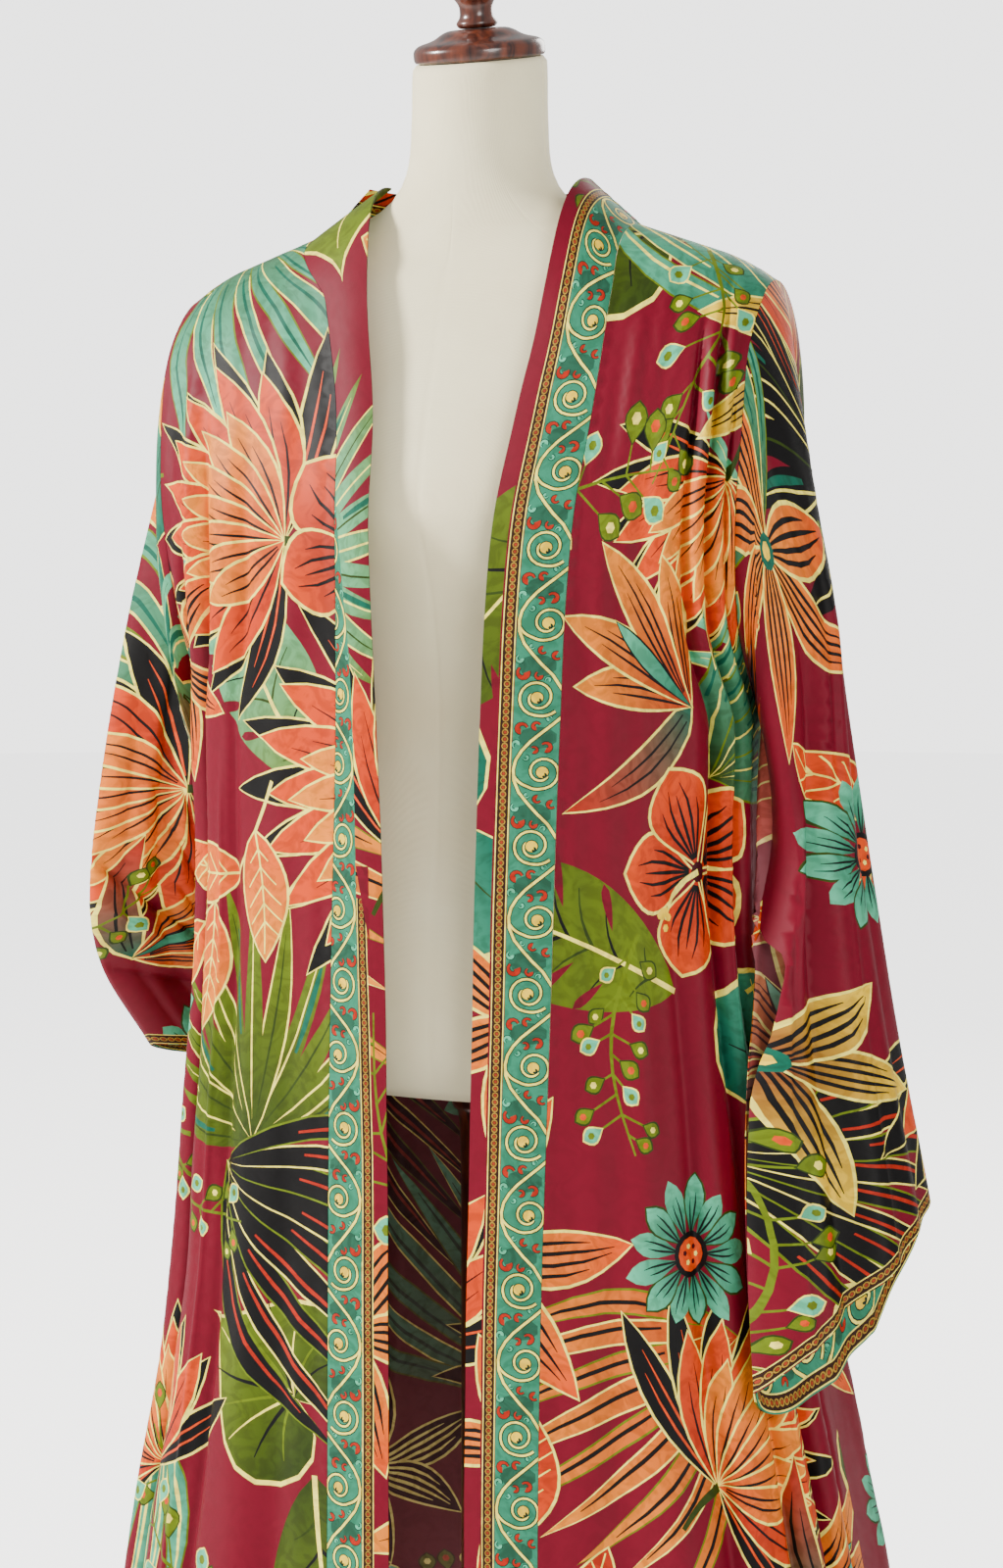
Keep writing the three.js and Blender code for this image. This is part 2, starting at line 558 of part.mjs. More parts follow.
function sleeveRings(side, table, folds, frontEdge, backEdge) {
  const seamTop = frontEdge[0].clone().lerp(backEdge[0], 0.5);
  const seamUnder = frontEdge.at(-1).clone().lerp(backEdge.at(-1), 0.5);
  const start = { k: 0, top: seamTop.toArray(), under: seamUnder.toArray(), front: 70, back: 70, drop: 0 };
  const rows = [start, ...table].map((row) => ({
    ...row,
    ...Object.fromEntries(row.top.map((value, i) => [`top${i}`, value])),
    ...Object.fromEntries(row.under.map((value, i) => [`under${i}`, value])),
  }));
  const curve = (name) => column(rows, "k", name);
  const topCurve = [0, 1, 2].map((i) => curve(`top${i}`));
  const underCurve = [0, 1, 2].map((i) => curve(`under${i}`));
  const bulge = { front: curve("front"), back: curve("back") };
  const drop = curve("drop");
  const placeAt = (k) => [topCurve, underCurve].map((set) => vec(...set.map((f) => f(k))));
  const frame = (k) => {
    const [top, under] = placeAt(k);
    const [topA, underA] = placeAt(Math.max(k - 0.03, 0));
    const [topB, underB] = placeAt(Math.min(k + 0.03, 1));
    const along = topB.add(underB).sub(topA).sub(underA).normalize();
    const line = under.clone().sub(top);
    const across = vec(-side * line.y, side * line.x, 0).normalize();
    const turn = smooth(clamp(k / TURN_BLEND, 0, 1));
    const out = vec(0, -1, 0).lerp(across, turn).projectOnPlane(line.normalize()).normalize();
    return { top, under, along, out };
  };
  const plain = (k, v, layer) => {
    const { top, under, along, out } = frame(k);
    const reach = bulge[layer](k) * bulgeShape(v) * (layer === "front" ? 1 : -1);
    const hang = drop(k) * bulgeShape(v) * (layer === "front" ? -0.25 : 1);
    return top.lerp(under, v).addScaledVector(out, reach).addScaledVector(along, hang);
  };
  const count = ARM_ROWS * 2;
  const ring = (k) => {
    const { out } = frame(k);
    const point = (i, layer) => {
      const edge = layer === "front" ? frontEdge : backEdge;
      const v = i / count;
      const p = plain(k, v, layer);
      const settle = 1 - smooth(clamp(k / ARMHOLE_BLEND, 0, 1));
      p.add(edge[i].clone().sub(plain(0, v, layer)).multiplyScalar(settle));
      const place = layer === "front" ? v : 2 - v;
      const height = folds.reduce((sum, fold) => {
        const off = (place - fold.at) / fold.width;
        return sum + fold.depth * smooth(clamp((k - fold.from) / 0.15, 0, 1)) * Math.exp(-off * off);
      }, 0);
      p.addScaledVector(out, (layer === "front" ? 1 : -1) * height * Math.min(1, 2 * bulgeShape(v)));
      p.x += side * SEAM;
      return p;
    };
    const front = steps(count).map((_, i) => point(i, "front"));
    const rear = steps(count).map((_, i) => point(i, "back"));
    front[0].y = (front[0].y + rear[0].y) / 2;
    front[count].y = (front[count].y + rear[count].y) / 2;
    return loopOf(side, front, rear);
  };
  return steps(SLEEVE_QUADS).map(ring);
}

// The first ring's wall lies in line with the panels' walls, except under the arm, where the sleeve folds
// down beside the body. The cuff's facing lies inside the last rows.
function addSleeve(name, rings, seamNormals) {
  const normals = normalsOf(rings, true);
  const highest = Math.max(...rings[0].map((p) => p.z));
  normals[0].forEach((normal, j) => {
    const down = (highest - rings[0][j].z) / (highest - ARMPIT_Z);
    normal.lerp(seamNormals[j], 1 - smooth(clamp((down - 0.45) / 0.35, 0, 1))).normalize();
  });
  add(`sleeve_${name}`, wall(rings, normals, true), silk);
  const rows = rings.slice(-FACING_ROWS - 1);
  const rowNormals = normals.slice(-FACING_ROWS - 1);
  const inside = rows.map((row, i) =>
    row.map((p, j) => p.clone().addScaledVector(rowNormals[i][j], -WALL - SEAM)),
  );
  add(`cuff_facing_${name}`, wall(inside, rowNormals, true), border);
}
const frontLeftEdge = armholeEdge(frontLeft, FRONT_QUADS);
const frontRightEdge = armholeEdge(frontRight, 0);
const backLeftEdge = armholeEdge(back, 0);
const backRightEdge = armholeEdge(back, BACK_QUADS);
const leftSeamNormals = loopOf(
  1,
  armholeEdge(frontLeftNormals, FRONT_QUADS),
  armholeEdge(backNormals, 0),
);
const rightSeamNormals = loopOf(
  -1,
  armholeEdge(frontRightNormals, 0),
  armholeEdge(backNormals, BACK_QUADS),
);
const leftRings = sleeveRings(1, SLEEVE_LEFT, SLEEVE_FOLDS, frontLeftEdge, backLeftEdge);
const rightRings = sleeveRings(-1, SLEEVE_RIGHT, SLEEVE_FOLDS, frontRightEdge, backRightEdge);
addSleeve("left", leftRings, leftSeamNormals);
addSleeve("right", rightRings, rightSeamNormals);

// ---------------------------------------------------------------- dress form and stand
const formHalf = column(FORM, "z", "half");
const formFront = column(FORM, "z", "front");
const formBack = column(FORM, "z", "back");
const formRoundness = column(FORM, "z", "roundness");
const neckTop = FORM.at(-1).z;
const lean = radians(NECK_LEAN_DEGREES);

const formRings = FORM_HEIGHTS.map((z) =>
  steps(FORM_SIDES).slice(0, -1).map((t) => {
    const a = 2 * Math.PI * t;
    const power = 2 / formRoundness(z);
    const x = formHalf(z) * Math.sign(Math.cos(a)) * Math.abs(Math.cos(a)) ** power;
    const depth = Math.sin(a) < 0 ? formFront(z) : formBack(z);
    const y = depth * Math.sign(Math.sin(a)) * Math.abs(Math.sin(a)) ** power;
    const tip = smooth(clamp((z - NECK_LEAN_FROM) / (neckTop - NECK_LEAN_FROM), 0, 1));
    return vec(x, y, z + y * Math.tan(lean) * tip);
  }),
);
add("form_torso", loft(formRings), linen);

const neckSeat = vec(0, 0, neckTop + SEAT / Math.cos(lean));
add("form_neck_cap", turned(CAP_PROFILE, neckSeat, lean), mahogany);
const finialSeat = vec(0, 0, CAP_PROFILE.at(-1).z + SEAT).applyAxisAngle(vec(1, 0, 0), lean).add(neckSeat);
add("form_finial", turned(FINIAL_PROFILE, finialSeat, lean), mahogany);
add("stand_base", turned(BASE_PROFILE), mahogany);
add("stand_pole", turned(POLE_PROFILE), mahogany);

export default part;
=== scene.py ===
import math
import bpy
import bmesh
import numpy as np
from mathutils import Matrix, Vector
from mathutils.geometry import delaunay_2d_cdt


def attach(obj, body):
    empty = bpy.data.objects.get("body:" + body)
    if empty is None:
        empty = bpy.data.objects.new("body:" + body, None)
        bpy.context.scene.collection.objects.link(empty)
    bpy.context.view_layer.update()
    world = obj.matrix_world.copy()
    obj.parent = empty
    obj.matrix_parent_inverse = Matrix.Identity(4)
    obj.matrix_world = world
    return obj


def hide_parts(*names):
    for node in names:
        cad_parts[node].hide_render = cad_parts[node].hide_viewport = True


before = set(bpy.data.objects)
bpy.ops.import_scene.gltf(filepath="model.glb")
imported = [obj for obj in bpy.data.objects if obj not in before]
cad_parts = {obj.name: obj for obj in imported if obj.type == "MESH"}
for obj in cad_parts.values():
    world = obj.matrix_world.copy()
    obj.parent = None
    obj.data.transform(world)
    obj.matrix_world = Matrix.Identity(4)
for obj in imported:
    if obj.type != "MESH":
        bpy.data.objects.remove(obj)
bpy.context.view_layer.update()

# ---------------------------------------------------------------- stand
# A round turned foot and a turned pole of dark stained mahogany, glued foot to pole, with a glossy varnish.
# The pole goes up into a block under the dress form.
def set_sockets(node, values):
    for name, value in values.items():
        node.inputs[name].default_value = value


def new_material(name):
    material = bpy.data.materials.new(name)
    material.use_nodes = True
    tree = material.node_tree
    return material, tree, tree.nodes["Principled BSDF"]


def add_node(tree, kind, values=None, **settings):
    node = tree.nodes.new(kind)
    for key, value in settings.items():
        setattr(node, key, value)
    set_sockets(node, values or {})
    return node


# A ramp between two colours, each given as its place and its red, green and blue.
def add_ramp(tree, *stops):
    node = add_node(tree, "ShaderNodeValToRGB")
    for element, (place, colour) in zip(node.color_ramp.elements, stops):
        element.position, element.color = place, (*colour, 1)
    return node


def varnished_wood():
    material, tree, shader = new_material("varnished_mahogany")
    place = add_node(tree, "ShaderNodeTexCoord")
    stretch = add_node(tree, "ShaderNodeMapping", {"Scale": (22, 22, 2.4)})
    grain = add_node(tree, "ShaderNodeTexNoise", {"Scale": 4, "Detail": 8, "Distortion": 1.2})
    pores = add_node(tree, "ShaderNodeTexNoise", {"Scale": 36, "Detail": 3})
    tint = add_ramp(tree, (0.36, (0.018, 0.004, 0.003)), (0.68, (0.150, 0.032, 0.012)))
    wear = add_node(tree, "ShaderNodeMapRange", {"To Min": 0.24, "To Max": 0.38})
    relief = add_node(tree, "ShaderNodeBump", {"Strength": 0.12, "Distance": 0.0004})
    link = tree.links.new
    link(place.outputs["Object"], stretch.inputs["Vector"])
    link(stretch.outputs["Vector"], grain.inputs["Vector"])
    link(stretch.outputs["Vector"], pores.inputs["Vector"])
    link(grain.outputs["Fac"], tint.inputs["Fac"])
    link(tint.outputs["Color"], shader.inputs["Base Color"])
    link(pores.outputs["Fac"], wear.inputs["Value"])
    link(wear.outputs["Result"], shader.inputs["Roughness"])
    link(pores.outputs["Fac"], relief.inputs["Height"])
    link(relief.outputs["Normal"], shader.inputs["Normal"])
    set_sockets(shader, {"Coat Weight": 0.5, "Coat Roughness": 0.12})
    return material


wood = varnished_wood()


def finish_mesh(bm, name, material):
    mesh = bpy.data.meshes.new(name)
    bm.to_mesh(mesh)
    bm.free()
    mesh.polygons.foreach_set("use_smooth", [True] * len(mesh.polygons))
    mesh.materials.append(material)
    piece = bpy.data.objects.new(name, mesh)
    bpy.context.scene.collection.objects.link(piece)
    return piece


# Turns a profile of radius and height rows, in millimetres, with its corners eased, leant towards the front.
def turned_piece(name, node, profile, seat=(0, 0, 0), lean=0.0):
    rows = np.array([(0, profile[0][1]), *profile, (0, profile[-1][1])], float)
    near, far = 0.8, 0.2
    for _ in range(2):
        low = rows[:-1] * near + rows[1:] * far
        high = rows[:-1] * far + rows[1:] * near
        rows = np.vstack([rows[:1], np.stack([low, high], 1).reshape(-1, 2), rows[-1:]])
    bm = bmesh.new()
    points = [bm.verts.new((r / 1000, 0, z / 1000)) for r, z in rows]
    line = [bm.edges.new(pair) for pair in zip(points, points[1:])]
    bmesh.ops.spin(
        bm, geom=points + line, cent=(0, 0, 0), axis=(0, 0, 1), angle=2 * math.pi, steps=96, use_merge=True
    )
    bmesh.ops.remove_doubles(bm, verts=bm.verts, dist=1e-6)
    bmesh.ops.recalc_face_normals(bm, faces=bm.faces)
    bmesh.ops.rotate(bm, verts=bm.verts, cent=(0, 0, 0), matrix=Matrix.Rotation(lean, 3, "X"))
    bmesh.ops.translate(bm, verts=bm.verts, vec=Vector(seat))
    piece = finish_mesh(bm, name, wood)
    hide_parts(node)
    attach(piece, "root")


foot = [(150, 0), (152, 4), (152, 14), (144, 20), (120, 24), (60, 30), (34, 40), (27, 42)]
pole = [
    (22, 42.3), (17, 58), (16, 180), (16, 300), (21, 306), (21, 318), (16, 324), (16, 520), (16, 735),
    (24, 742), (24, 759.7),
]
turned_piece("turned_foot", "stand_base", foot)
turned_piece("turned_pole", "stand_pole", pole)

# ---------------------------------------------------------------- dress form
# A limbless torso and neck of padded papier mache under a tight cream linen cover, sewn from panels with
# seams down its front, back and sides. Its wood cap and finial are screwed to the top of the neck.
form_rows = [
    (760, 138, 84, 92, 2.3), (769, 150, 93, 102, 2.3), (800, 166, 103, 118, 2.3), (870, 175, 100, 124, 2.3),
    (960, 155, 88, 100, 2.2), (1060, 122, 82, 80, 2.2), (1150, 135, 98, 88, 2.2), (1220, 150, 124, 92, 2.2),
    (1290, 171, 110, 97, 2.2), (1340, 187, 92, 93, 2.2), (1380, 196, 80, 82, 2.2), (1402, 193, 72, 74, 2.2),
    (1418, 178, 62, 64, 1.9), (1440.6, 132.5, 57, 60, 1.5), (1452, 100, 56, 58, 1.7), (1466, 73, 55, 57, 2),
    (1490, 58, 55, 55, 2), (1530, 54, 54, 54, 2), (1572, 53, 53, 53, 2), (1576, 50, 50, 50, 2),
]
neck_lean = math.radians(12)


def smooth(x):
    x = np.clip(x, 0, 1)
    return x * x * (3 - 2 * x)


# A smooth line through a table's rows: column i against the first column.
def line_through(rows, i):
    table = np.array(sorted(rows), float)
    xs, ys = table[:, 0], table[:, i]
    low = np.maximum(np.arange(len(xs)) - 1, 0)
    high = np.minimum(np.arange(len(xs)) + 1, len(xs) - 1)
    slopes = (ys[high] - ys[low]) / (xs[high] - xs[low])

    def at(x):
        x = np.clip(x, xs[0], xs[-1])
        k = np.clip(np.searchsorted(xs, x, side="right") - 1, 0, len(xs) - 2)
        h = xs[k + 1] - xs[k]
        t = (x - xs[k]) / h
        eased = ys[k] + (ys[k + 1] - ys[k]) * t * t * (3 - 2 * t)
        return eased + h * t * (1 - t) * (slopes[k] * (1 - t) - slopes[k + 1] * t)

    return at


# Threads crossing over and under each other, as a height from 0 to 1, and a mask of uneven, slubby threads.
def weave_group():
    group = bpy.data.node_groups.new("woven_threads", "ShaderNodeTree")
    face = group.interface
    face.new_socket("Vector", in_out="INPUT", socket_type="NodeSocketVector")
    face.new_socket("Threads", in_out="INPUT", socket_type="NodeSocketFloat")
    face.new_socket("Height", in_out="OUTPUT", socket_type="NodeSocketFloat")
    face.new_socket("Slub", in_out="OUTPUT", socket_type="NodeSocketFloat")
    start, end = add_node(group, "NodeGroupInput"), add_node(group, "NodeGroupOutput")
    link = group.links.new
    sized = add_node(group, "ShaderNodeVectorMath", operation="SCALE")
    link(start.outputs["Vector"], sized.inputs[0])
    link(start.outputs["Threads"], sized.inputs["Scale"])
    waves = []
    for axis in ("X", "Y"):
        wave = add_node(
            group, "ShaderNodeTexWave", {"Scale": 1, "Distortion": 0.6, "Detail": 1}, bands_direction=axis
        )
        link(sized.outputs[0], wave.inputs["Vector"])
        waves.append(wave)
    cross = add_node(group, "ShaderNodeMath", operation="MULTIPLY")
    link(waves[0].outputs["Fac"], cross.inputs[0])
    link(waves[1].outputs["Fac"], cross.inputs[1])
    slub = add_node(group, "ShaderNodeTexNoise", {"Scale": 0.11, "Detail": 3})
    link(sized.outputs[0], slub.inputs["Vector"])
    link(cross.outputs[0], end.inputs["Height"])
    link(slub.outputs["Fac"], end.inputs["Slub"])
    return group


weave = weave_group()


# Feeds the threads' relief and roughness, from `smoothest` to `roughest`, into a woven cloth's shader.
def woven_surface(tree, shader, threads, strength, distance, smoothest, roughest):
    link = tree.links.new
    relief = add_node(tree, "ShaderNodeBump", {"Strength": strength, "Distance": distance})
    link(threads.outputs["Height"], relief.inputs["Height"])
    link(relief.outputs["Normal"], shader.inputs["Normal"])
    rough = add_node(tree, "ShaderNodeMapRange", {"To Min": smoothest, "To Max": roughest})
    link(threads.outputs["Slub"], rough.inputs["Value"])
    link(rough.outputs["Result"], shader.inputs["Roughness"])


def linen_cover():
    material, tree, shader = new_material("cream_linen_cover")
    link = tree.links.new
    place = add_node(tree, "ShaderNodeTexCoord")
    threads = add_node(tree, "ShaderNodeGroup", {"Threads": 420}, node_tree=weave)
    link(place.outputs["Object"], threads.inputs["Vector"])
    age = add_node(tree, "ShaderNodeTexNoise", {"Scale": 7, "Detail": 4})
    link(place.outputs["Object"], age.inputs["Vector"])
    base = add_ramp(tree, (0.3, (0.92, 0.83, 0.54)), (0.75, (0.98, 0.92, 0.65)))
    link(age.outputs["Fac"], base.inputs["Fac"])
    thread_tint = add_ramp(tree, (0, (0.90, 0.88, 0.84)), (1, (1, 1, 1)))
    link(threads.outputs["Slub"], thread_tint.inputs["Fac"])
    shade = add_node(tree, "ShaderNodeMix", {"Factor": 0.6}, data_type="RGBA", blend_type="MULTIPLY")
    link(base.outputs["Color"], shade.inputs["A"])
    link(thread_tint.outputs["Color"], shade.inputs["B"])
    link(shade.outputs["Result"], shader.inputs["Base Color"])
    woven_surface(tree, shader, threads, 0.35, 0.0003, 0.78, 0.9)
    set_sockets(shader, {"Sheen Weight": 0.15})
    return material


linen = linen_cover()

# Seams of the cover, as angles round the form, each a narrow pressed-in line. Those at the sides end at the
# shoulder. The arc of one degree on a circle is its radius over 57.
cover_seams = [-90, 90, -55, -125, 52, 128, 0, 180]
seam_deep, seam_wide, degree_arc = 0.9, 1.3, 57


def form_point(turn, z):
    half, front, back, roundness = [line_through(form_rows, i)(z) for i in range(1, 5)]
    power = 2 / roundness
    c, s = np.cos(turn), np.sin(turn)
    x = half * np.sign(c) * np.abs(c) ** power
    y = np.where(s < 0, front, back) * np.sign(s) * np.abs(s) ** power
    away = np.degrees(np.abs((turn[..., None] - np.radians(cover_seams) + np.pi) % (2 * np.pi) - np.pi)).min(-1)
    fade = 1 - smooth((z - 1420) / 60) * (1 - (np.abs(s) < 0.2))
    inward = 1 - seam_deep / half * np.exp(-((away * half / degree_arc / seam_wide) ** 2)) * fade
    tip = smooth((z - 1490) / 86)
    return np.stack([x * inward, y * inward, z + y * math.tan(neck_lean) * tip], -1) / 1000


def dress_form():
    turns = np.radians(np.arange(0, 360, 3.0))
    turns = np.concatenate([turns, *[np.radians(a) + np.radians([-1.2, -0.6, 0.6, 1.2]) for a in cover_seams]])
    turns = np.unique(np.round(turns % (2 * np.pi), 6))
    heights = np.unique(np.concatenate([np.array(form_rows)[:, 0], np.arange(775, 1575, 9.0)]))
    bm = bmesh.new()
    bmesh.ops.create_grid(bm, x_segments=len(turns), y_segments=len(heights) - 1, size=1)
    bm.verts.ensure_lookup_table()
    across = np.append(turns, turns[0] + 2 * np.pi)
    grid_turn, grid_z = np.meshgrid(across, heights)
    places = form_point(grid_turn.ravel(), grid_z.ravel())
    for vert, place in zip(bm.verts, places):
        vert.co = place
    bmesh.ops.remove_doubles(bm, verts=bm.verts, dist=1e-6)
    rims = [e for e in bm.edges if e.is_boundary]
    bmesh.ops.holes_fill(bm, edges=rims, sides=0)
    bmesh.ops.recalc_face_normals(bm, faces=bm.faces)
    piece = finish_mesh(bm, "linen_form", linen)
    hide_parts("form_torso")
    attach(piece, "root")
    return piece


form = dress_form()
seat_z = 1576 + 0.3 / math.cos(neck_lean)
cap = [(50, 0), (52, 2.5), (52, 10), (48, 14), (36, 17), (28, 22), (22, 24)]
finial = [(14, 0), (17, 4), (13, 9), (13, 18), (20, 27), (25, 38), (25, 48), (19, 58), (9, 64)]
turned_piece("neck_cap", "form_neck_cap", cap, (0, 0, seat_z / 1000), neck_lean)
up = Matrix.Rotation(neck_lean, 3, "X") @ Vector((0, 0, 24.3))
turned_piece("neck_finial", "form_finial", finial, (0, up.y / 1000, (seat_z + up.z) / 1000), neck_lean)

# ---------------------------------------------------------------- silk and its print
# Printed silk crepe. The print is laid out on the flat cut in coloured shapes with drawn outlines, and the
# cloth's mesh is cut along them, so each colour ends on a clean edge, and the reverse shows it paler.
def dye(code):
    parts = [int(code[i : i + 2], 16) / 255 for i in (0, 2, 4)]
    return np.array([c / 12.92 if c < 0.04045 else ((c + 0.055) / 1.055) ** 2.4 for c in parts])


maroon, plum = dye("6c031e"), dye("380210")
orange, flame, amber, yellow = dye("d84405"), dye("ac2007"), dye("e8861a"), dye("f8cf2a")
cream, olive, moss = dye("fff066"), dye("627609"), dye("2b3c08")
teal, aqua, black = dye("085a46"), dye("56bd94"), dye("080708")
gold, rust, bark = dye("a8822a"), dye("97341a"), dye("2e170d")


def silk(name, roughness):
    material, tree, shader = new_material(name)
    link = tree.links.new
    printed = add_node(tree, "ShaderNodeAttribute", attribute_name="print")
    flat = add_node(tree, "ShaderNodeUVMap", uv_map="cut")
    threads = add_node(tree, "ShaderNodeGroup", {"Threads": 900}, node_tree=weave)
    link(flat.outputs["UV"], threads.inputs["Vector"])
    brushed = add_node(tree, "ShaderNodeTexNoise", {"Scale": 42, "Detail": 6, "Distortion": 2.6})
    link(flat.outputs["UV"], brushed.inputs["Vector"])
    washes = add_ramp(tree, (0.4, (0.6, 0.55, 0.5)), (0.56, (1, 1, 1)))
    link(brushed.outputs["Fac"], washes.inputs["Fac"])
    # The ground is dyed more evenly than the motifs, whose share of the wash is in the print's alpha.
    dyed = add_node(tree, "ShaderNodeMix", data_type="RGBA", blend_type="MULTIPLY")
    link(printed.outputs["Alpha"], dyed.inputs["Factor"])
    link(printed.outputs["Color"], dyed.inputs["A"])
    link(washes.outputs["Color"], dyed.inputs["B"])
    link(dyed.outputs["Result"], shader.inputs["Base Color"])
    woven_surface(tree, shader, threads, 0.18, 0.0002, roughness - 0.06, roughness + 0.08)
    set_sockets(shader, {"Specular IOR Level": 0.15, "Sheen Weight": 0.02, "Sheen Roughness": 0.4})
    return material


silk_crepe = silk("printed_silk_crepe", 0.5)
border_silk = silk("border_silk", 0.54)


# Shapes of the print, in millimetres on the flat cut. Each is an outline, the colours of its foot and tip,
# and the places of the two.
def turn_about(points, x, y, turn):
    c, s = math.cos(turn), math.sin(turn)
    return points @ np.array([[c, s], [-s, c]]) + (x, y)


# Half a petal's width at a share t of its length. A higher point puts its widest place nearer its tip.
def half_width(t, wide, point):
    return wide / 2 * np.sin(np.pi * t**point) ** 0.85


def petal(x, y, turn, long, wide, bow=0.0, point=1.0, count=10):
    t = np.linspace(0, 1, count)
    half = half_width(t, wide, point)
    middle = bow * np.sin(np.pi * t)
    outline = np.vstack([np.c_[t * long, middle + half], np.c_[t * long, middle - half][-2:0:-1]])
    return turn_about(outline, x, y, turn)


def tip_of(x, y, turn, long):
    return (x + long * math.cos(turn), y + long * math.sin(turn))


def leaf(shapes, x, y, turn, long, wide, foot, tip, edge=None, line=2.6, bow=0.0, point=1.0, count=10):
    ends = ((x, y), tip_of(x, y, turn, long))
    if edge is not None:
        back_x, back_y = tip_of(x, y, turn, -line)
        outer = petal(back_x, back_y, turn, long + 2 * line, wide + 2 * line, bow, point, count)
        shapes.append((outer, edge, edge, *ends))
    shapes.append((petal(x, y, turn, long, wide, bow, point, count), foot, tip, *ends))


# Tapered lines drawn up a petal from its foot; each place is how far out it runs and how long it is.
def veins(shapes, x, y, turn, long, wide, places, colour, thick=2.4, bow=0.0, point=1.0, start=0.08):
    for out, reach in places:
        t = np.linspace(start, reach, 5)
        middle = np.c_[t * long, bow * np.sin(np.pi * t) + out * half_width(t, wide, point)]
        width = thick / 2 * np.sin(np.pi * np.linspace(0.14, 0.97, 5)) ** 0.7
        outline = np.vstack([middle + np.c_[0 * t, width], (middle - np.c_[0 * t, width])[::-1]])
        shapes.append((turn_about(outline, x, y, turn), colour, colour, (0, 0), (1, 0)))


# A leaf with tapered lines drawn up it. `dyes` are its colours at foot and tip, and `ink` the lines'.
def veined_leaf(shapes, x, y, turn, long, wide, dyes, edge, line, places, ink, thick, bow=0.0, point=1.0, count=10):
    leaf(shapes, x, y, turn, long, wide, *dyes, edge, line, bow, point, count)
    veins(shapes, x, y, turn, long, wide, places, ink, thick, bow, point)


def stroke(shapes, points, first, last, colour):
    p = np.array(points, float)
    d = np.gradient(p, axis=0)
    d /= np.linalg.norm(d, axis=1)[:, None]
    side = np.c_[-d[:, 1], d[:, 0]] * np.linspace(first, last, len(p))[:, None] / 2
    outline = np.vstack([p + side, (p - side)[::-1]])
    shapes.append((outline, colour, colour, tuple(p[0]), tuple(p[-1])))


def spot(shapes, x, y, radius, colour, count=9, squash=1.0):
    a = np.linspace(0, 2 * np.pi, count, endpoint=False)
    outline = np.c_[np.cos(a) * radius, np.sin(a) * radius * squash] + (x, y)
    shapes.append((outline, colour, colour, (x, y), (x + 1, y)))


def arc_line(x, y, turn, long, bow, count=9):
    t = np.linspace(0, 1, count)
    return turn_about(np.c_[t * long, bow * np.sin(np.pi * t)], x, y, turn)


def hibiscus(shapes, x, y, size, turn, rng):
    dyes = [(flame, orange), (maroon, orange), (flame, amber)][rng.integers(3)]
    for i in range(5):
        a = turn + i * 2 * math.pi / 5 + rng.uniform(-0.08, 0.08)
        long = size * rng.uniform(0.46, 0.54)
        px, py = tip_of(x, y, a, size * 0.03)
        lines = [(-0.6, 0.66), (-0.3, 0.82), (0, 0.74), (0.3, 0.84), (0.6, 0.62)]
        veined_leaf(shapes, px, py, a, long, long * 0.82, dyes, cream, 2.8, lines, black, 3.2, 0.0, 1.45, 14)
    spot(shapes, x, y, size * 0.055, plum, 10)
    stem = arc_line(x, y, turn + 0.5, size * 0.34, size * 0.05)
    stroke(shapes, stem, 5, 2.5, cream)
    for i in range(7):
        sx, sy = stem[-1] + rng.uniform(-1, 1, 2) * size * 0.045
        spot(shapes, sx, sy, 3.2, yellow, 6)


def star_flower(shapes, x, y, size, turn, rng):
    dyes = [(maroon, yellow), (amber, orange), (black, black)][rng.integers(3)]
    ink = cream if dyes[0] is black else black
    for i in range(6):
        a = turn + i * math.pi / 3 + rng.uniform(-0.12, 0.12)
        long = size * rng.uniform(0.44, 0.6)
        bow = rng.uniform(-0.05, 0.05) * size
        lines = [(-0.62, 0.72), (-0.22, 0.88), (0.22, 0.86), (0.62, 0.7)]
        veined_leaf(shapes, x, y, a, long, size * 0.17, dyes, cream, 2.4, lines, ink, 3.2, bow, 0.9)
    spot(shapes, x, y, size * 0.05, teal, 9)
    spot(shapes, x, y, size * 0.026, yellow, 7)


def fan_palm(shapes, x, y, size, turn, rng):
    dyes = [(olive, aqua), (moss, olive), (aqua, olive), (black, black)][rng.integers(4)]
    x, y = tip_of(x, y, turn, -size * 0.3)
    for i in range(13):
        f = (i - 6) / 6
        a = turn + f * 1.15
        long = size * (0.86 - 0.3 * f * f) * rng.uniform(0.92, 1.05)
        bow = f * size * 0.06
        wide, edge, ink = size * 0.075, cream if i % 3 == 1 else None, cream if i % 2 else moss
        veined_leaf(shapes, x, y, a, long, wide, dyes, edge, 1.8, [(0.1, 0.86)], ink, 1.8, bow, 0.8)
        if i % 3 == 0:
            veins(shapes, x, y, a, long, wide, [(-0.4, 0.8)], teal, 5, bow, 0.8, 0.4)
    stroke(shapes, arc_line(x, y, turn + math.pi, size * 0.22, size * 0.03), 5, 3, olive)


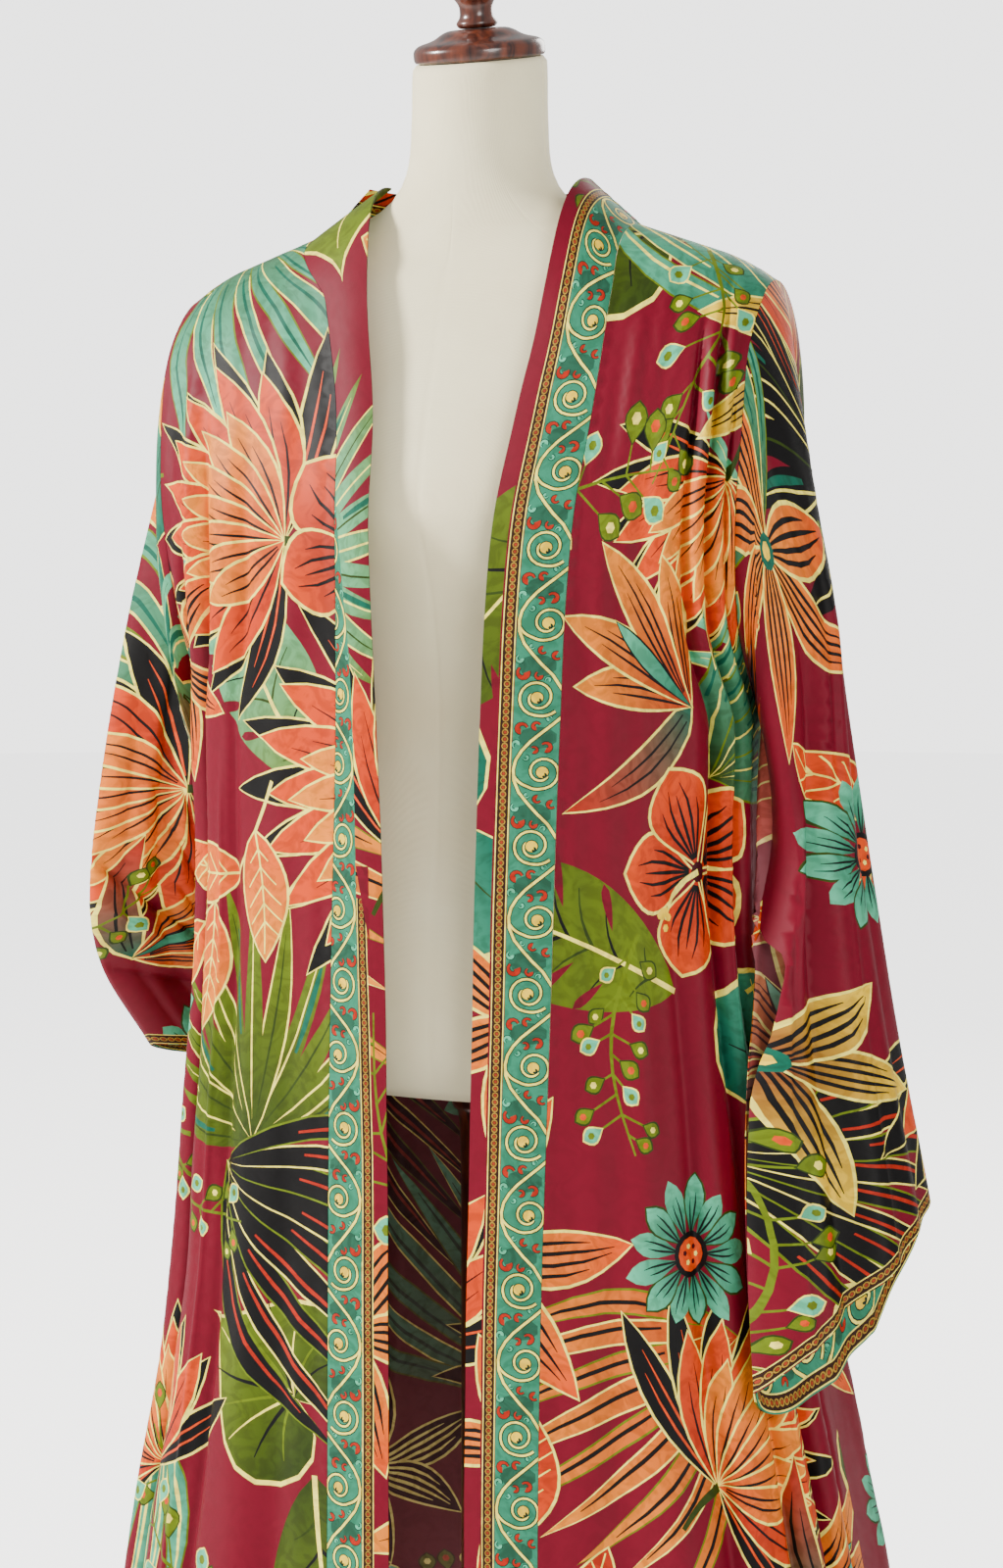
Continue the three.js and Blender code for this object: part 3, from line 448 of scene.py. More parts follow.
def banana_leaf(shapes, x, y, size, turn, rng):
    foot, tip = [(moss, olive), (olive, aqua), (olive, moss)][rng.integers(3)]
    x, y = tip_of(x, y, turn, -size * 0.5)
    wide, bow = size * 0.4, rng.uniform(-0.08, 0.08) * size
    leaf(shapes, x, y, turn, size, wide, foot, tip, None, 0, bow, 0.9, 22)
    for side in (-1, 1):
        for i in range(8):
            t = 0.12 + i * 0.1 + rng.uniform(-0.02, 0.02)
            half = wide / 2 * math.sin(math.pi * t**0.9) ** 0.85
            root = turn_about(np.array([[t * size, bow * math.sin(math.pi * t)]]), x, y, turn)[0]
            a = turn + side * 0.95
            vein = arc_line(*root, a, half, side * -half * 0.08, 5)
            stroke(shapes, vein, rng.uniform(1.6, 3.6), 0.8, black if i % 2 else moss)
            if rng.random() < 0.42:
                rim = tip_of(*root, turn + side, half * 1.45)
                cut = turn + side * (1 + math.pi)
                leaf(shapes, *rim, cut, half * rng.uniform(0.7, 1.1), half * 0.2, maroon, maroon, None, 0, 0, 0.6, 7)
    t = np.linspace(0, 0.94, 10)
    rib = turn_about(np.c_[t * size, bow * np.sin(np.pi * t)], x, y, turn)
    stroke(shapes, rib, 4.5, 1.2, cream)


def heart_leaf(shapes, x, y, size, turn, rng):
    foot, tip = [(moss, olive), (teal, aqua), (olive, moss)][rng.integers(3)]
    a = np.linspace(0, 2 * np.pi, 30, endpoint=False)
    heart = np.c_[
        -(13 * np.cos(a) - 5 * np.cos(2 * a) - 2 * np.cos(3 * a) - np.cos(4 * a)), 16 * np.sin(a) ** 3
    ] * size / 33
    ends = (tip_of(x, y, turn, -size * 0.3), tip_of(x, y, turn, size * 0.5))
    shapes.append((turn_about(heart * 1.05, x, y, turn), cream, cream, *ends))
    shapes.append((turn_about(heart, x, y, turn), foot, tip, *ends))
    root = turn_about(np.array([[-size * 0.14, 0.0]]), x, y, turn)[0]
    for i in range(11):
        f = (i - 5) / 5
        reach = size * (0.62 - 0.24 * abs(f) ** 1.3)
        path = arc_line(*root, turn + f * 1.9, reach * 0.88, -f * size * 0.03, 6)
        middle = olive if foot is moss else moss
        stroke(shapes, path, rng.uniform(2.5, 5), 0.8, [black, middle, cream][i % 3])


def berry_spray(shapes, x, y, size, turn, rng):
    x, y = tip_of(x, y, turn, -size * 0.5)
    bow = rng.choice([-1, 1]) * size * 0.14
    stem = arc_line(x, y, turn, size, bow, 12)
    stroke(shapes, stem, 4, 1.6, olive)
    for i in range(15):
        t = 0.1 + i * 0.062
        root = stem[min(int(t * 11), 11)]
        side = 1 if i % 2 else -1
        a = turn + side * rng.uniform(0.7, 1.25)
        far = size * rng.uniform(0.04, 0.15)
        px, py = tip_of(*root, a, far)
        stroke(shapes, [root, (px, py)], 2, 1.6, olive)
        long = size * rng.uniform(0.085, 0.12)
        fill, core = [(olive, cream), (aqua, olive), (olive, orange)][i % 3]
        leaf(shapes, px, py, a, long, long * 0.72, fill, fill, cream if i % 3 == 1 else moss, 1.5, 0, 1.3, 7)
        cx, cy = tip_of(px, py, a, long * 0.6)
        spot(shapes, cx, cy, long * 0.17, core, 6)


def protea(shapes, x, y, size, turn, rng):
    x, y = tip_of(x, y, turn, -size * 0.35)
    layers = [
        (11, 1.5, 0.82, 0.15, black, black), (9, 1.15, 0.72, 0.17, flame, orange), (7, 0.8, 0.56, 0.14, orange, amber),
    ]
    for count, spread, reach, wide, *dyes in layers:
        ink = orange if dyes[0] is black else black
        for i in range(count):
            f = (i - (count - 1) / 2) / ((count - 1) / 2)
            a = turn + f * spread
            long = size * reach * rng.uniform(0.92, 1.06)
            lines, bow = [(-0.3, 0.7), (0.3, 0.8)], f * size * 0.03
            veined_leaf(shapes, x, y, a, long, size * wide, dyes, cream, 2.2, lines, ink, 2.2, bow, 1.15, 9)
    stroke(shapes, arc_line(x, y, turn + math.pi, size * 0.25, 4), 8, 4, moss)


# A tuft of long blades, each with a brushed streak.
def reeds(shapes, x, y, size, turn, rng):
    dyes = [(teal, aqua, cream), (flame, amber, black), (moss, aqua, teal), (black, black, flame)]
    foot, tip, streak = dyes[rng.integers(4)]
    x, y = tip_of(x, y, turn, -size * 0.5)
    for i in range(9):
        f = (i - 4) / 4
        a, bow, wide = turn + f * 0.55, f * size * 0.13, size * rng.uniform(0.05, 0.09)
        long = size * rng.uniform(0.75, 1.12)
        leaf(shapes, x, y, a, long, wide, foot, tip, cream if i % 2 else olive, 1.7, bow, 0.8)
        veins(shapes, x, y, a, long, wide, [(rng.uniform(-0.4, 0.4), 0.85)], streak, 3.4, bow, 0.8, 0.3)


def paradise_flower(shapes, x, y, size, turn, rng):
    x, y = tip_of(x, y, turn, -size * 0.2)
    wide, lines, a = size * 0.13, [(-0.3, 0.8), (0.4, 0.7)], turn - 1.25
    veined_leaf(
        shapes, x, y, a, size * 0.62, wide, (teal, flame), cream, 2.4, lines, black, 2.2, -size * 0.05, 0.7
    )
    lines = [(-0.4, 0.7), (0.05, 0.85), (0.45, 0.7)]
    for lean, reach in [(-0.55, 0.5), (0.6, 0.5), (-0.2, 0.62), (0.22, 0.66)]:
        a, long, bow = turn + lean, size * reach, size * 0.03
        veined_leaf(shapes, x, y, a, long, wide, (flame, amber), cream, 2.4, lines, black, 2.4, bow, 1.1)
    leaf(shapes, x, y, turn + 0.02, size * 0.42, size * 0.06, teal, aqua, black, 1.8, 0, 1.2, 8)


def daisy(shapes, x, y, size, turn, rng):
    for i in range(13):
        a = turn + i * 2 * math.pi / 13
        px, py = tip_of(x, y, a, size * 0.08)
        long, edge = size * rng.uniform(0.28, 0.36), moss if i % 2 else None
        leaf(shapes, px, py, a, long, size * 0.13, teal, aqua, edge, 1.8, 0, 1.5, 8)
        veins(shapes, px, py, a, size * 0.3, size * 0.13, [(-0.3, 0.7), (0.3, 0.8)], black, 1.8, 0, 1.5)
    spot(shapes, x, y, size * 0.12, black, 14)
    spot(shapes, x, y, size * 0.09, orange, 12)
    for i in range(6):
        sx, sy = tip_of(x, y, turn + i, size * 0.045)
        spot(shapes, sx, sy, 2.2, cream if i % 2 else plum, 5)


# A twig with four leaves, each drawn with slanted veins.
def veined_leaves(shapes, x, y, size, turn, rng):
    foot, tip = [(flame, orange), (orange, amber), (orange, flame)][rng.integers(3)]
    x, y = tip_of(x, y, turn, -size * 0.45)
    twig = arc_line(x, y, turn, size * 0.8, size * 0.1, 9)
    stroke(shapes, twig, 3.6, 2, cream)
    for i, lean in enumerate([0.9, -0.85, 0.6, -0.1]):
        root = twig[2 + 2 * i]
        a, long = turn + lean, size * rng.uniform(0.36, 0.5)
        wide = long * 0.46
        leaf(shapes, *root, a, long, wide, foot, tip, cream, 2.2, size * 0.02, 0.85, 12)
        for side in (-1, 1):
            for t in (0.14, 0.28, 0.42, 0.56, 0.7):
                half = wide / 2 * math.sin(math.pi * t**0.85) ** 0.85
                place = turn_about(np.array([[t * long, size * 0.02 * math.sin(math.pi * t)]]), *root, a)[0]
                stroke(shapes, arc_line(*place, a + side * 0.8, half * 1.02, 0, 3), 1.7, 1.1, cream)
        rib = arc_line(*root, a, long * 0.95, size * 0.02, 6)
        stroke(shapes, rib, 2.2, 1.2, cream)


kinds = [
    (banana_leaf, 260, 0), (heart_leaf, 170, 0), (fan_palm, 250, 1), (reeds, 260, 1), (protea, 190, 2),
    (hibiscus, 165, 3), (star_flower, 210, 3), (paradise_flower, 210, 3), (berry_spray, 210, 4),
    (daisy, 125, 4), (veined_leaves, 190, 2), (reeds, 230, 1), (star_flower, 180, 3), (berry_spray, 180, 4),
]


# Strews motifs over an area of the cut, evenly but unlike each other, leaves first and flowers on top. Each
# strays from its place, and the rows are a little closer than the motifs in a row.
stray, row_share = 0.24, 0.87


def strewn(seed, left, right, top, bottom, gap=158):
    rng = np.random.default_rng(seed)
    places = []
    rows = int((bottom - top) / (gap * row_share)) + 2
    for row in range(rows):
        for column in range(int((right - left) / gap) + 2):
            x = left + (column + 0.5 * (row % 2)) * gap + rng.uniform(-stray, stray) * gap
            y = top + row * gap * row_share + rng.uniform(-stray, stray) * gap
            places.append((x, y))
    order = []
    while len(order) < len(places):
        order += list(rng.permutation(len(kinds)))
    chosen = [(kinds[k], x, y) for k, (x, y) in zip(order, places)]
    shapes = []
    for (draw, size, _), x, y in sorted(chosen, key=lambda c: c[0][2]):
        draw(shapes, x, y, size * rng.uniform(0.9, 1.25), rng.uniform(0, 2 * math.pi), rng)
    return shapes


def inside(points, outline):
    start, end = outline, np.roll(outline, -1, 0)
    hit = np.zeros(len(points), bool)
    for part in range(0, len(points), 20000):
        x, y = points[part : part + 20000, 0, None], points[part : part + 20000, 1, None]
        for first in range(0, len(start), 40):
            x0, y0 = start[first : first + 40].T
            x1, y1 = end[first : first + 40].T
            level = np.where(y1 == y0, 1e-12, y1 - y0)
            crossed = ((y0 > y) != (y1 > y)) & (x < (x1 - x0) * (y - y0) / level + x0)
            hit[part : part + 20000] ^= crossed.sum(1) % 2 == 1
    return hit


# Meshes an outline cut along the given lines, as points and triangles.
def cut_mesh(points, lines, outline):
    made = delaunay_2d_cdt([Vector(p) for p in points], lines, [], 0, 1e-4, False)
    flat = np.array([tuple(v) for v in made[0]])
    faces = np.array([f for f in made[2] if len(f) == 3])
    faces = faces[inside(flat[faces].mean(1), outline)]
    used, faces = np.unique(faces, return_inverse=True)
    return flat[used], faces.reshape(-1, 3)


# The topmost shape of the print over each triangle, or -1 for the ground.
def printed_on(flat, faces, shapes):
    centre = flat[faces].mean(1)
    order = np.argsort(centre[:, 1])
    level = centre[order, 1]
    chosen = np.full(len(faces), -1)
    for i, (outline, *_) in enumerate(shapes):
        (left, low), (right, high) = outline.min(0), outline.max(0)
        near = order[np.searchsorted(level, low) : np.searchsorted(level, high)]
        near = near[(centre[near, 0] >= left) & (centre[near, 0] <= right)]
        if len(near):
            chosen[near[inside(centre[near], outline)]] = i
    return chosen


# Breaks long lines up, so that they can bend with the cloth.
def broken_up(points, lines, longest):
    run = points[lines[:, 1]] - points[lines[:, 0]]
    parts = (np.linalg.norm(run, axis=1) / longest).astype(int) + 1
    made, chains, count = [points], [lines[parts == 1]], len(points)
    for (a, b), n in zip(lines[parts > 1], parts[parts > 1]):
        between = np.arange(1, n) / n
        made.append(points[a] + between[:, None] * (points[b] - points[a]))
        chain_of = [a, *range(count, count + n - 1), b]
        chains.append(np.array(list(zip(chain_of, chain_of[1:]))))
        count += n - 1
    return np.vstack(made), np.vstack(chains)


# A pressed crease is a line of the mesh, with two lines close to it on each side.
crease_gaps = (-6.0, -2.6, 0.0, 2.6, 6.0)


def crease_rows(line):
    run = np.concatenate([[0], np.cumsum(np.linalg.norm(np.diff(line, axis=0), axis=1))])
    at = np.linspace(0, run[-1], max(int(run[-1] / 9), 2))
    line = np.stack([np.interp(at, run, line[:, 0]), np.interp(at, run, line[:, 1])], -1)
    way = np.gradient(line, axis=0)
    way /= np.linalg.norm(way, axis=1)[:, None]
    return [line + gap * np.c_[-way[:, 1], way[:, 0]] for gap in crease_gaps]


# Every edge of the triangles, and which triangle it belongs to.
def edges_of(faces):
    return np.vstack([faces[:, [0, 1]], faces[:, [1, 2]], faces[:, [2, 0]]]), np.tile(np.arange(len(faces)), 3)


# Makes one piece of cloth: its cut outline and print are meshed flat, and `hang` gives where each point of
# the flat cloth hangs, in millimetres, and which way the cloth faces there. The print shows paler on the
# reverse, apart from the border print. The washes are the shares of the dyer's wash on the ground, on the
# motifs and on the cloth's edge.
cloth_wall = 1.2
ground_wash, motif_wash, edge_wash = 0.2, 0.65, 0.4


def cloth(name, node, outline, shapes, hang, ground, step, creases=(), border=False):
    low, high = outline.min(0), outline.max(0)
    kept = [x for x in shapes if (x[0].max(0) > low).all() and (x[0].min(0) < high).all()]
    points, lines, count = [], [], 0
    for loop in [outline, *[x[0] for x in kept]]:
        n = len(loop)
        points.append(loop)
        lines += [(count + i, count + (i + 1) % n) for i in range(n)]
        count += n
    flat, faces = cut_mesh(np.vstack(points), lines, outline)
    chosen = printed_on(flat, faces, kept)
    # Only the lines that end a colour are kept, and the cloth is meshed evenly between them.
    ring, owner = edges_of(faces)
    ring = np.sort(ring, 1)
    order = np.lexsort((ring[:, 1], ring[:, 0]))
    ring, owner = ring[order], owner[order]
    same = (ring[1:] == ring[:-1]).all(1)
    pair = np.nonzero(same)[0]
    shared = np.zeros(len(ring), bool)
    shared[pair] = shared[pair + 1] = True
    seen = pair[chosen[owner[pair]] != chosen[owner[pair + 1]]]
    lines = ring[np.concatenate([np.nonzero(~shared)[0], seen])]
    used, lines = np.unique(lines, return_inverse=True)
    points, lines = broken_up(flat[used], lines.reshape(-1, 2), step * 1.4)
    points, lines, count = [points], [lines], len(points)
    for row in [row for crease in creases for row in crease_rows(crease)]:
        chain_of = np.arange(count, count + len(row))
        points.append(row)
        lines.append(np.stack([chain_of[:-1], chain_of[1:]], -1))
        count += len(row)
    xs, ys = np.arange(low[0], high[0], step), np.arange(low[1], high[1], step)
    grid = np.stack(np.meshgrid(xs, ys), -1).reshape(-1, 2)
    grid[:, 0] += step * 0.5 * (np.round((grid[:, 1] - low[1]) / step) % 2)
    grid = grid[inside(grid, outline)]
    flat, faces = cut_mesh(np.vstack([*points, grid]), np.vstack(lines).tolist(), outline)
    chosen = printed_on(flat, faces, kept)
    colours = np.empty((len(faces), 3, 3))
    colours[:] = ground
    for i in np.unique(chosen[chosen >= 0]):
        _, foot, tip, start, end = kept[i]
        mine = chosen == i
        run = np.array(end, float) - start
        t = np.clip(((flat[faces[mine]] - start) @ run) / (run @ run), 0, 1)[..., None]
        colours[mine] = foot + (tip - foot) * t
    place, facing = hang(flat)
    corner = place[faces]
    normal = np.cross(corner[:, 1] - corner[:, 0], corner[:, 2] - corner[:, 0])
    if (normal * facing[faces].mean(1)).sum() < 0:
        faces, colours = faces[:, ::-1], colours[:, ::-1]
    n = len(flat)
    ring, owner = edges_of(faces)
    _, first, counts = np.unique(np.sort(ring, 1), axis=0, return_index=True, return_counts=True)
    rim, rim_owner = ring[first[counts == 1]], owner[first[counts == 1]]
    back = faces[:, ::-1] + n
    walls = np.c_[rim[:, 1], rim[:, 0], rim[:, 0] + n, rim[:, 1] + n]
    mesh = bpy.data.meshes.new(name)
    both = np.vstack([place, place - facing * cloth_wall]) / 1000
    mesh.from_pydata(both.tolist(), [], faces.tolist() + back.tolist() + walls.tolist())
    pale = 0.0 if border else 0.35
    faded = colours[:, ::-1].mean(2, keepdims=True) * 0.5 + ground * 0.9 + 0.1
    reverse = colours[:, ::-1] * (1 - pale) + faded * pale
    edges = np.repeat(colours[rim_owner].mean(1)[:, None], 4, 1)
    paint = np.vstack([colours.reshape(-1, 3), reverse.reshape(-1, 3), edges.reshape(-1, 3)])
    wash = np.repeat(np.where(chosen < 0, ground_wash, motif_wash), 3)
    wash = np.concatenate([wash, wash, np.full(len(edges) * 4, edge_wash)])
    layer = mesh.color_attributes.new("print", "FLOAT_COLOR", "CORNER")
    layer.data.foreach_set("color", np.c_[paint, wash].ravel())
    corners = np.empty(len(mesh.loops), int)
    mesh.loops.foreach_get("vertex_index", corners)
    uv = mesh.uv_layers.new(name="cut")
    uv.data.foreach_set("uv", (flat[corners % n] / 1000).ravel())
    mesh.polygons.foreach_set("use_smooth", np.ones(len(mesh.polygons), bool))
    mesh.normals_split_custom_set_from_vertices(np.vstack([facing, -facing]).tolist())
    mesh.materials.append(border_silk if border else silk_crepe)
    piece = bpy.data.objects.new(name, mesh)
    bpy.context.scene.collection.objects.link(piece)
    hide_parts(node)
    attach(piece, "root")
    return piece


def cut_area(outline):
    x, y = outline.T / 1000
    return abs(np.dot(x, np.roll(y, -1)) - np.dot(y, np.roll(x, -1))) / 2


def cut_size(outline):
    return tuple(np.ptp(outline, axis=0) / 1000)


# A closed outline from its edges, each running on from the one before.
def closed(*edges):
    return np.vstack([edge[:-1] for edge in edges])


# ---------------------------------------------------------------- back
# One width of silk from the shoulder seams to the hem, with a shallow curved neckline. It hangs from the
# shoulders in deep uneven folds and stands clear of the form below the shoulder blades.
wall, seam_gap, hem_z = 1.5, 0.4, 160
neck_half, shoulder_half, neck_height, shoulder_slope = 134, 245, 1443, math.radians(19)
shoulder_long = shoulder_half - neck_half
panel_long = 1330
body_rows = [
    (1500, 245, 70, 76, 52, 0), (1400, 245, 84, 90, 52, 0), (1340, 244, 106, 106, 52, 0),
    (1280, 243, 124, 112, 53, 0), (1220, 240, 138, 112, 56, 0), (1140, 236, 140, 110, 66, 0),
    (1060, 233, 137, 112, 90, 0), (900, 233, 137, 138, 90, 2), (750, 250, 142, 148, 90, 8),
    (600, 267, 152, 158, 90, 14), (470, 291, 160, 166, 90, 18), (360, 312, 166, 172, 90, 18),
    (160, 332, 176, 182, 90, 18),
]
half_at, front_at, back_at, wrap_line, shift_at = [line_through(body_rows, i) for i in range(1, 6)]


def wrap_at(z):
    return np.radians(np.minimum(wrap_line(z), 90))


def ridge_at(x):
    droop = np.maximum(0, np.abs(x) - 200) ** 2 / 240
    return neck_height - (np.abs(x) - neck_half) * math.tan(shoulder_slope) - droop


# The cloth turns down over the shoulder in a quarter round: its height, and the radius along the cloth.
round_high, round_radius = 78, 79


def turned_down(drop):
    return np.sqrt(1 - (1 - np.clip(drop / round_high, 0, 1)) ** 2)


# Length of cloth used by a drop below the shoulder line, and the drop for a length.
def length_of(drop):
    return round_radius * np.arccos(1 - np.clip(drop / round_high, 0, 1)) + np.maximum(drop - round_high, 0)


def drop_for(length):
    quarter = round_radius * math.pi / 2
    rounded = round_high * (1 - np.cos(np.clip(length, 0, quarter) / round_radius))
    return np.where(length < quarter, rounded, round_high + length - quarter)


# Folds are rows of place, width, start height, size at the start, size at the hem and drift. A minus size
# is a valley.
def folded(folds, u, z):
    total = np.zeros_like(z)
    for at, width, start, top, hem, lean in folds:
        down = np.clip((start - z) / (start - hem_z), 0, 1)
        off = (u - at - lean * down) / width
        total += (top + (hem - top) * down) * smooth((start - z) / 90) * np.exp(-off * off)
    return total


# Soft uneven waves of the cloth between its folds, mostly running down it.
def crumple(u, v, size):
    waves = [
        (0.011, 0.002, 0.4), (0.017, -0.003, 1.9), (0.005, 0.007, 3.1), (0.024, 0.001, 5.2), (0.008, -0.005, 2.2),
    ]
    return size * sum(np.sin(2 * np.pi * (a * u + b * v) + c + 0.9 * np.sin(0.009 * v + c)) for a, b, c in waves) / 3


def body_point(angle, start_x, start_z, z, side, face, fold):
    depth = front_at(z) if face < 0 else back_at(z)
    spread = half_at(z) * (np.sin(angle) / np.sin(wrap_at(z))) ** 0.8
    ease = smooth((start_z - z) / 60)
    x = start_x + (spread - start_x) * ease
    y = depth * np.maximum(np.cos(angle), 0) ** 0.8 * turned_down(ridge_at(x) - z)
    away = np.stack([x / half_at(z) ** 2, y / depth**2], -1)
    away /= np.linalg.norm(away, axis=-1)[..., None]
    out = side * (x + away[..., 0] * fold) + shift_at(z)
    return np.stack([out, face * np.maximum(y + away[..., 1] * fold, 0.2), z], -1)


# Points and outward directions of a surface given on 0 to 1 across and 0 to 1 down. Its `flip` is 1, or -1
# where across and down turn the other way round.
def hung(surface, s, t):
    e, f = 0.004, 0.002
    a, b = np.clip(s - e, 0, 1), np.clip(s + e, 0, 1)
    c, d = np.clip(t - f, 0, 1), np.clip(t + f, 0, 1)
    across = surface(b, t) - surface(a, t)
    down = surface(s, d) - surface(s, c)
    normal = np.cross(down, across) * surface.flip
    length = np.linalg.norm(normal, axis=1)[:, None]
    return surface(s, t), normal / np.maximum(length, 1e-9)


back_folds = [
    (-0.84, 0.06, 1300, 4, 12, 0), (-0.66, 0.065, 1380, 5, 13, 0.02), (-0.45, 0.07, 1250, 2, 16, 0.03),
    (-0.2, 0.075, 1120, 0, 15, 0.02), (0.04, 0.07, 1200, 0, 17, -0.01), (0.28, 0.075, 1100, 0, 14, -0.02),
    (0.5, 0.065, 1280, 3, 16, -0.02), (0.7, 0.065, 1380, 5, 12, -0.03), (0.86, 0.06, 1300, 4, 12, 0),
]
back_creases = [
    (-0.75, 0.025, 1290, -4, -9, 0.01), (-0.56, 0.028, 1220, -3, -12, 0.02), (-0.33, 0.03, 1080, -1, -13, 0.02),
    (-0.08, 0.025, 1160, -1, -10, 0.01), (0.16, 0.03, 1040, 0, -13, -0.02), (0.4, 0.028, 1240, -3, -11, -0.01),
    (0.6, 0.025, 1340, -6, -9, -0.03), (0.78, 0.02, 1280, -5, -8, 0),
]


def back_start(u):
    out = np.abs(u)
    on_neck = out < 0.5
    x = np.where(on_neck, 2 * out * neck_half, neck_half + shoulder_long * (2 * out - 1))
    neck_dip = 20
    return x, np.where(on_neck, neck_height - neck_dip * (1 - (2 * out) ** 2), ridge_at(x))


def back_surface(s, t):
    u = 1 - 2 * s
    out = np.abs(u)
    start_x, start_z = back_start(u)
    top_drop = ridge_at(start_x) - start_z
    length = length_of(top_drop)
    end = length_of(ridge_at(start_x) - hem_z)
    z = np.clip(ridge_at(start_x) - drop_for(length + (end - length) * t), hem_z, start_z)
    fade = smooth((1 - out) / 2 / 0.035)
    fold = (folded(back_folds, u, z) + folded(back_creases, u, z)) * fade
    fold += crumple(s * 700, t * 1300, 1.2) * fade * smooth(t / 0.06)
    return body_point(out * wrap_at(z), start_x, start_z, z, np.where(u < 0, -1, 1), 1, fold)


back_surface.flip = 1

# Width of the hung cloth at each height, from its own sections.
def width_table(surface):
    s = np.linspace(0, 1, 160)
    table = []
    for t in np.linspace(0, 1, 60):
        p = surface(s, np.full_like(s, t))
        table.append((t, np.linalg.norm(np.diff(p, axis=0), axis=1).sum()))
    table = np.array(table)
    table[table[:, 0] < 0.08, 1] = np.interp(0.08, table[:, 0], table[:, 1])
    return table


# The flat cut of a body panel: x runs across from its middle or seam, y runs down from the shoulder line.
def panel_cut(surface, length, drop_of_edge, middle, creases, place):
    widths = width_table(surface)

    def to_flat(s, t):
        top = drop_of_edge(s)
        return np.stack([(s - middle) * np.interp(t, *widths.T), top + (length - top) * t], -1)

    def hang(flat):
        s = np.full(len(flat), 0.5)
        t = flat[:, 1] / length
        for _ in range(6):
            top = drop_of_edge(np.clip(s, 0, 1))
            t = np.clip((flat[:, 1] - top) / (length - top), 0, 1)
            s = np.clip(flat[:, 0] / np.interp(t, *widths.T) + middle, 0, 1)
        return hung(surface, s, t)

    s, t = np.linspace(0, 1, 90), np.linspace(0, 1, 180)
    outline = closed(
        to_flat(s, 0 * s), to_flat(1 + 0 * t, t), to_flat(s[::-1], 1 + 0 * s), to_flat(0 * t, t[::-1])
    )
    return outline, hang, crease_lines(creases, surface, to_flat, place)


# Where the creases of a body panel run on its flat cut, from the table of creases.
def crease_lines(creases, surface, to_flat, place):
    lines = []
    for at, _, start, _, _, lean in creases:
        t = np.linspace(0, 1, 160)
        s = place(np.full_like(t, at))
        for _ in range(3):
            z = surface(s, t)[:, 2]
            s = place(at + lean * np.clip((start - z) / (start - hem_z), 0, 1))
        lines.append(to_flat(s, t)[z < start])
    return lines


def back_edge_drop(s):
    return neck_height - back_start(1 - 2 * s)[1]


back_outline, back_hang, back_lines = panel_cut(
    back_surface, panel_long, back_edge_drop, 0.5, back_creases, lambda u: (1 - u) / 2
)
back = cloth(
    "back", "back_panel", back_outline, strewn(11, -430, 430, 20, panel_long, 174), back_hang, maroon, 11.0, back_lines
)
cut_size(back_outline)
cut_area(back_outline)

# ---------------------------------------------------------------- fronts
# Two front widths, joined to the back at the shoulders and sides. Each hangs straight from the shoulder,
# with a deep drag of folds below the armhole, and its front edge is turned and stitched over the band.
left_band_rows = [
    (1500, 134, 92, 0), (1380, 140, 90, 2), (1300, 137, 80, 4), (1200, 127, 67, 4), (1080, 118, 58, 4),
    (900, 112, 52, 4), (600, 110, 52, 4), (160, 118, 60, 4),
]
right_band_rows = [
    (1500, 134, 96, 0), (1380, 92, 57, 4), (1300, 70, 38, 5), (1200, 62, 32, 6), (1080, 63, 28, 6),
    (900, 68, 22, 5), (750, 69, 18, 4), (600, 66, 13, 4), (400, 62, 8, 4), (160, 60, 6, 4),
]
left_folds = [
    (0.3, 0.08, 1180, 0, 9, 0.02), (0.52, 0.07, 1330, 3, 12, 0.04), (0.7, 0.06, 1400, 9, 9, 0.03),
    (0.86, 0.055, 1400, 8, 8, 0.01),
]
left_creases = [
    (0.63, 0.018, 1375, -11, -11, 0.03), (0.78, 0.018, 1400, -15, -9, 0.02), (0.92, 0.016, 1340, -10, -6, 0),
    (0.43, 0.026, 1100, 0, -11, 0.03), (0.17, 0.05, 860, 0, -6, 0.02), (0.705, 0.014, 1200, 3, 5, 0.02),
]
right_folds = [
    (0.26, 0.08, 1150, 0, 10, -0.02), (0.5, 0.08, 1330, 4, 10, 0.03), (0.7, 0.065, 1360, 6, 14, 0.02),
    (0.87, 0.055, 1250, 4, 11, 0),
]
right_creases = [
    (0.38, 0.026, 1260, -3, -9, 0), (0.6, 0.02, 1300, -7, -11, 0.02), (0.79, 0.02, 1220, -6, -11, 0.01),
    (0.13, 0.04, 980, 0, -7, -0.01), (0.44, 0.014, 1050, 2, 4, 0.02),
]


def angle_at(x, z):
    return np.arcsin(np.clip(np.clip(x / half_at(z), 0, None) ** 1.25 * np.sin(wrap_at(z)), 0, 1))


def front_surface(side, band, folds, creases, roll):
    seam_x = line_through(band, 1)

    def surface(s, t):
        start_x = neck_half + shoulder_long * s
        start_z = ridge_at(start_x)
        z = np.clip(start_z - drop_for(length_of(start_z - hem_z) * t), hem_z, start_z)
        first = angle_at(seam_x(z) - side * shift_at(z), z)
        angle = first + (wrap_at(z) - first) * s
        fade = smooth(np.minimum(s, 1 - s) / 0.07)
        fold = (folded(folds, s, z) + folded(creases, s, z)) * fade
        fold += crumple(s * 330 + 900, t * 1300, 1.2) * fade * smooth(t / 0.06)
        fold += roll * np.exp(-((s / 0.018) ** 2)) * smooth(t / 0.05)
        return body_point(angle, start_x, start_z, z, side, -1, fold)

    surface.flip = side
    return surface


left_surface = front_surface(1, left_band_rows, left_folds, left_creases, 1.6)
right_surface = front_surface(-1, right_band_rows, right_folds, right_creases, 2.6)


def front_edge_drop(s):
    return neck_height - ridge_at(neck_half + shoulder_long * s)


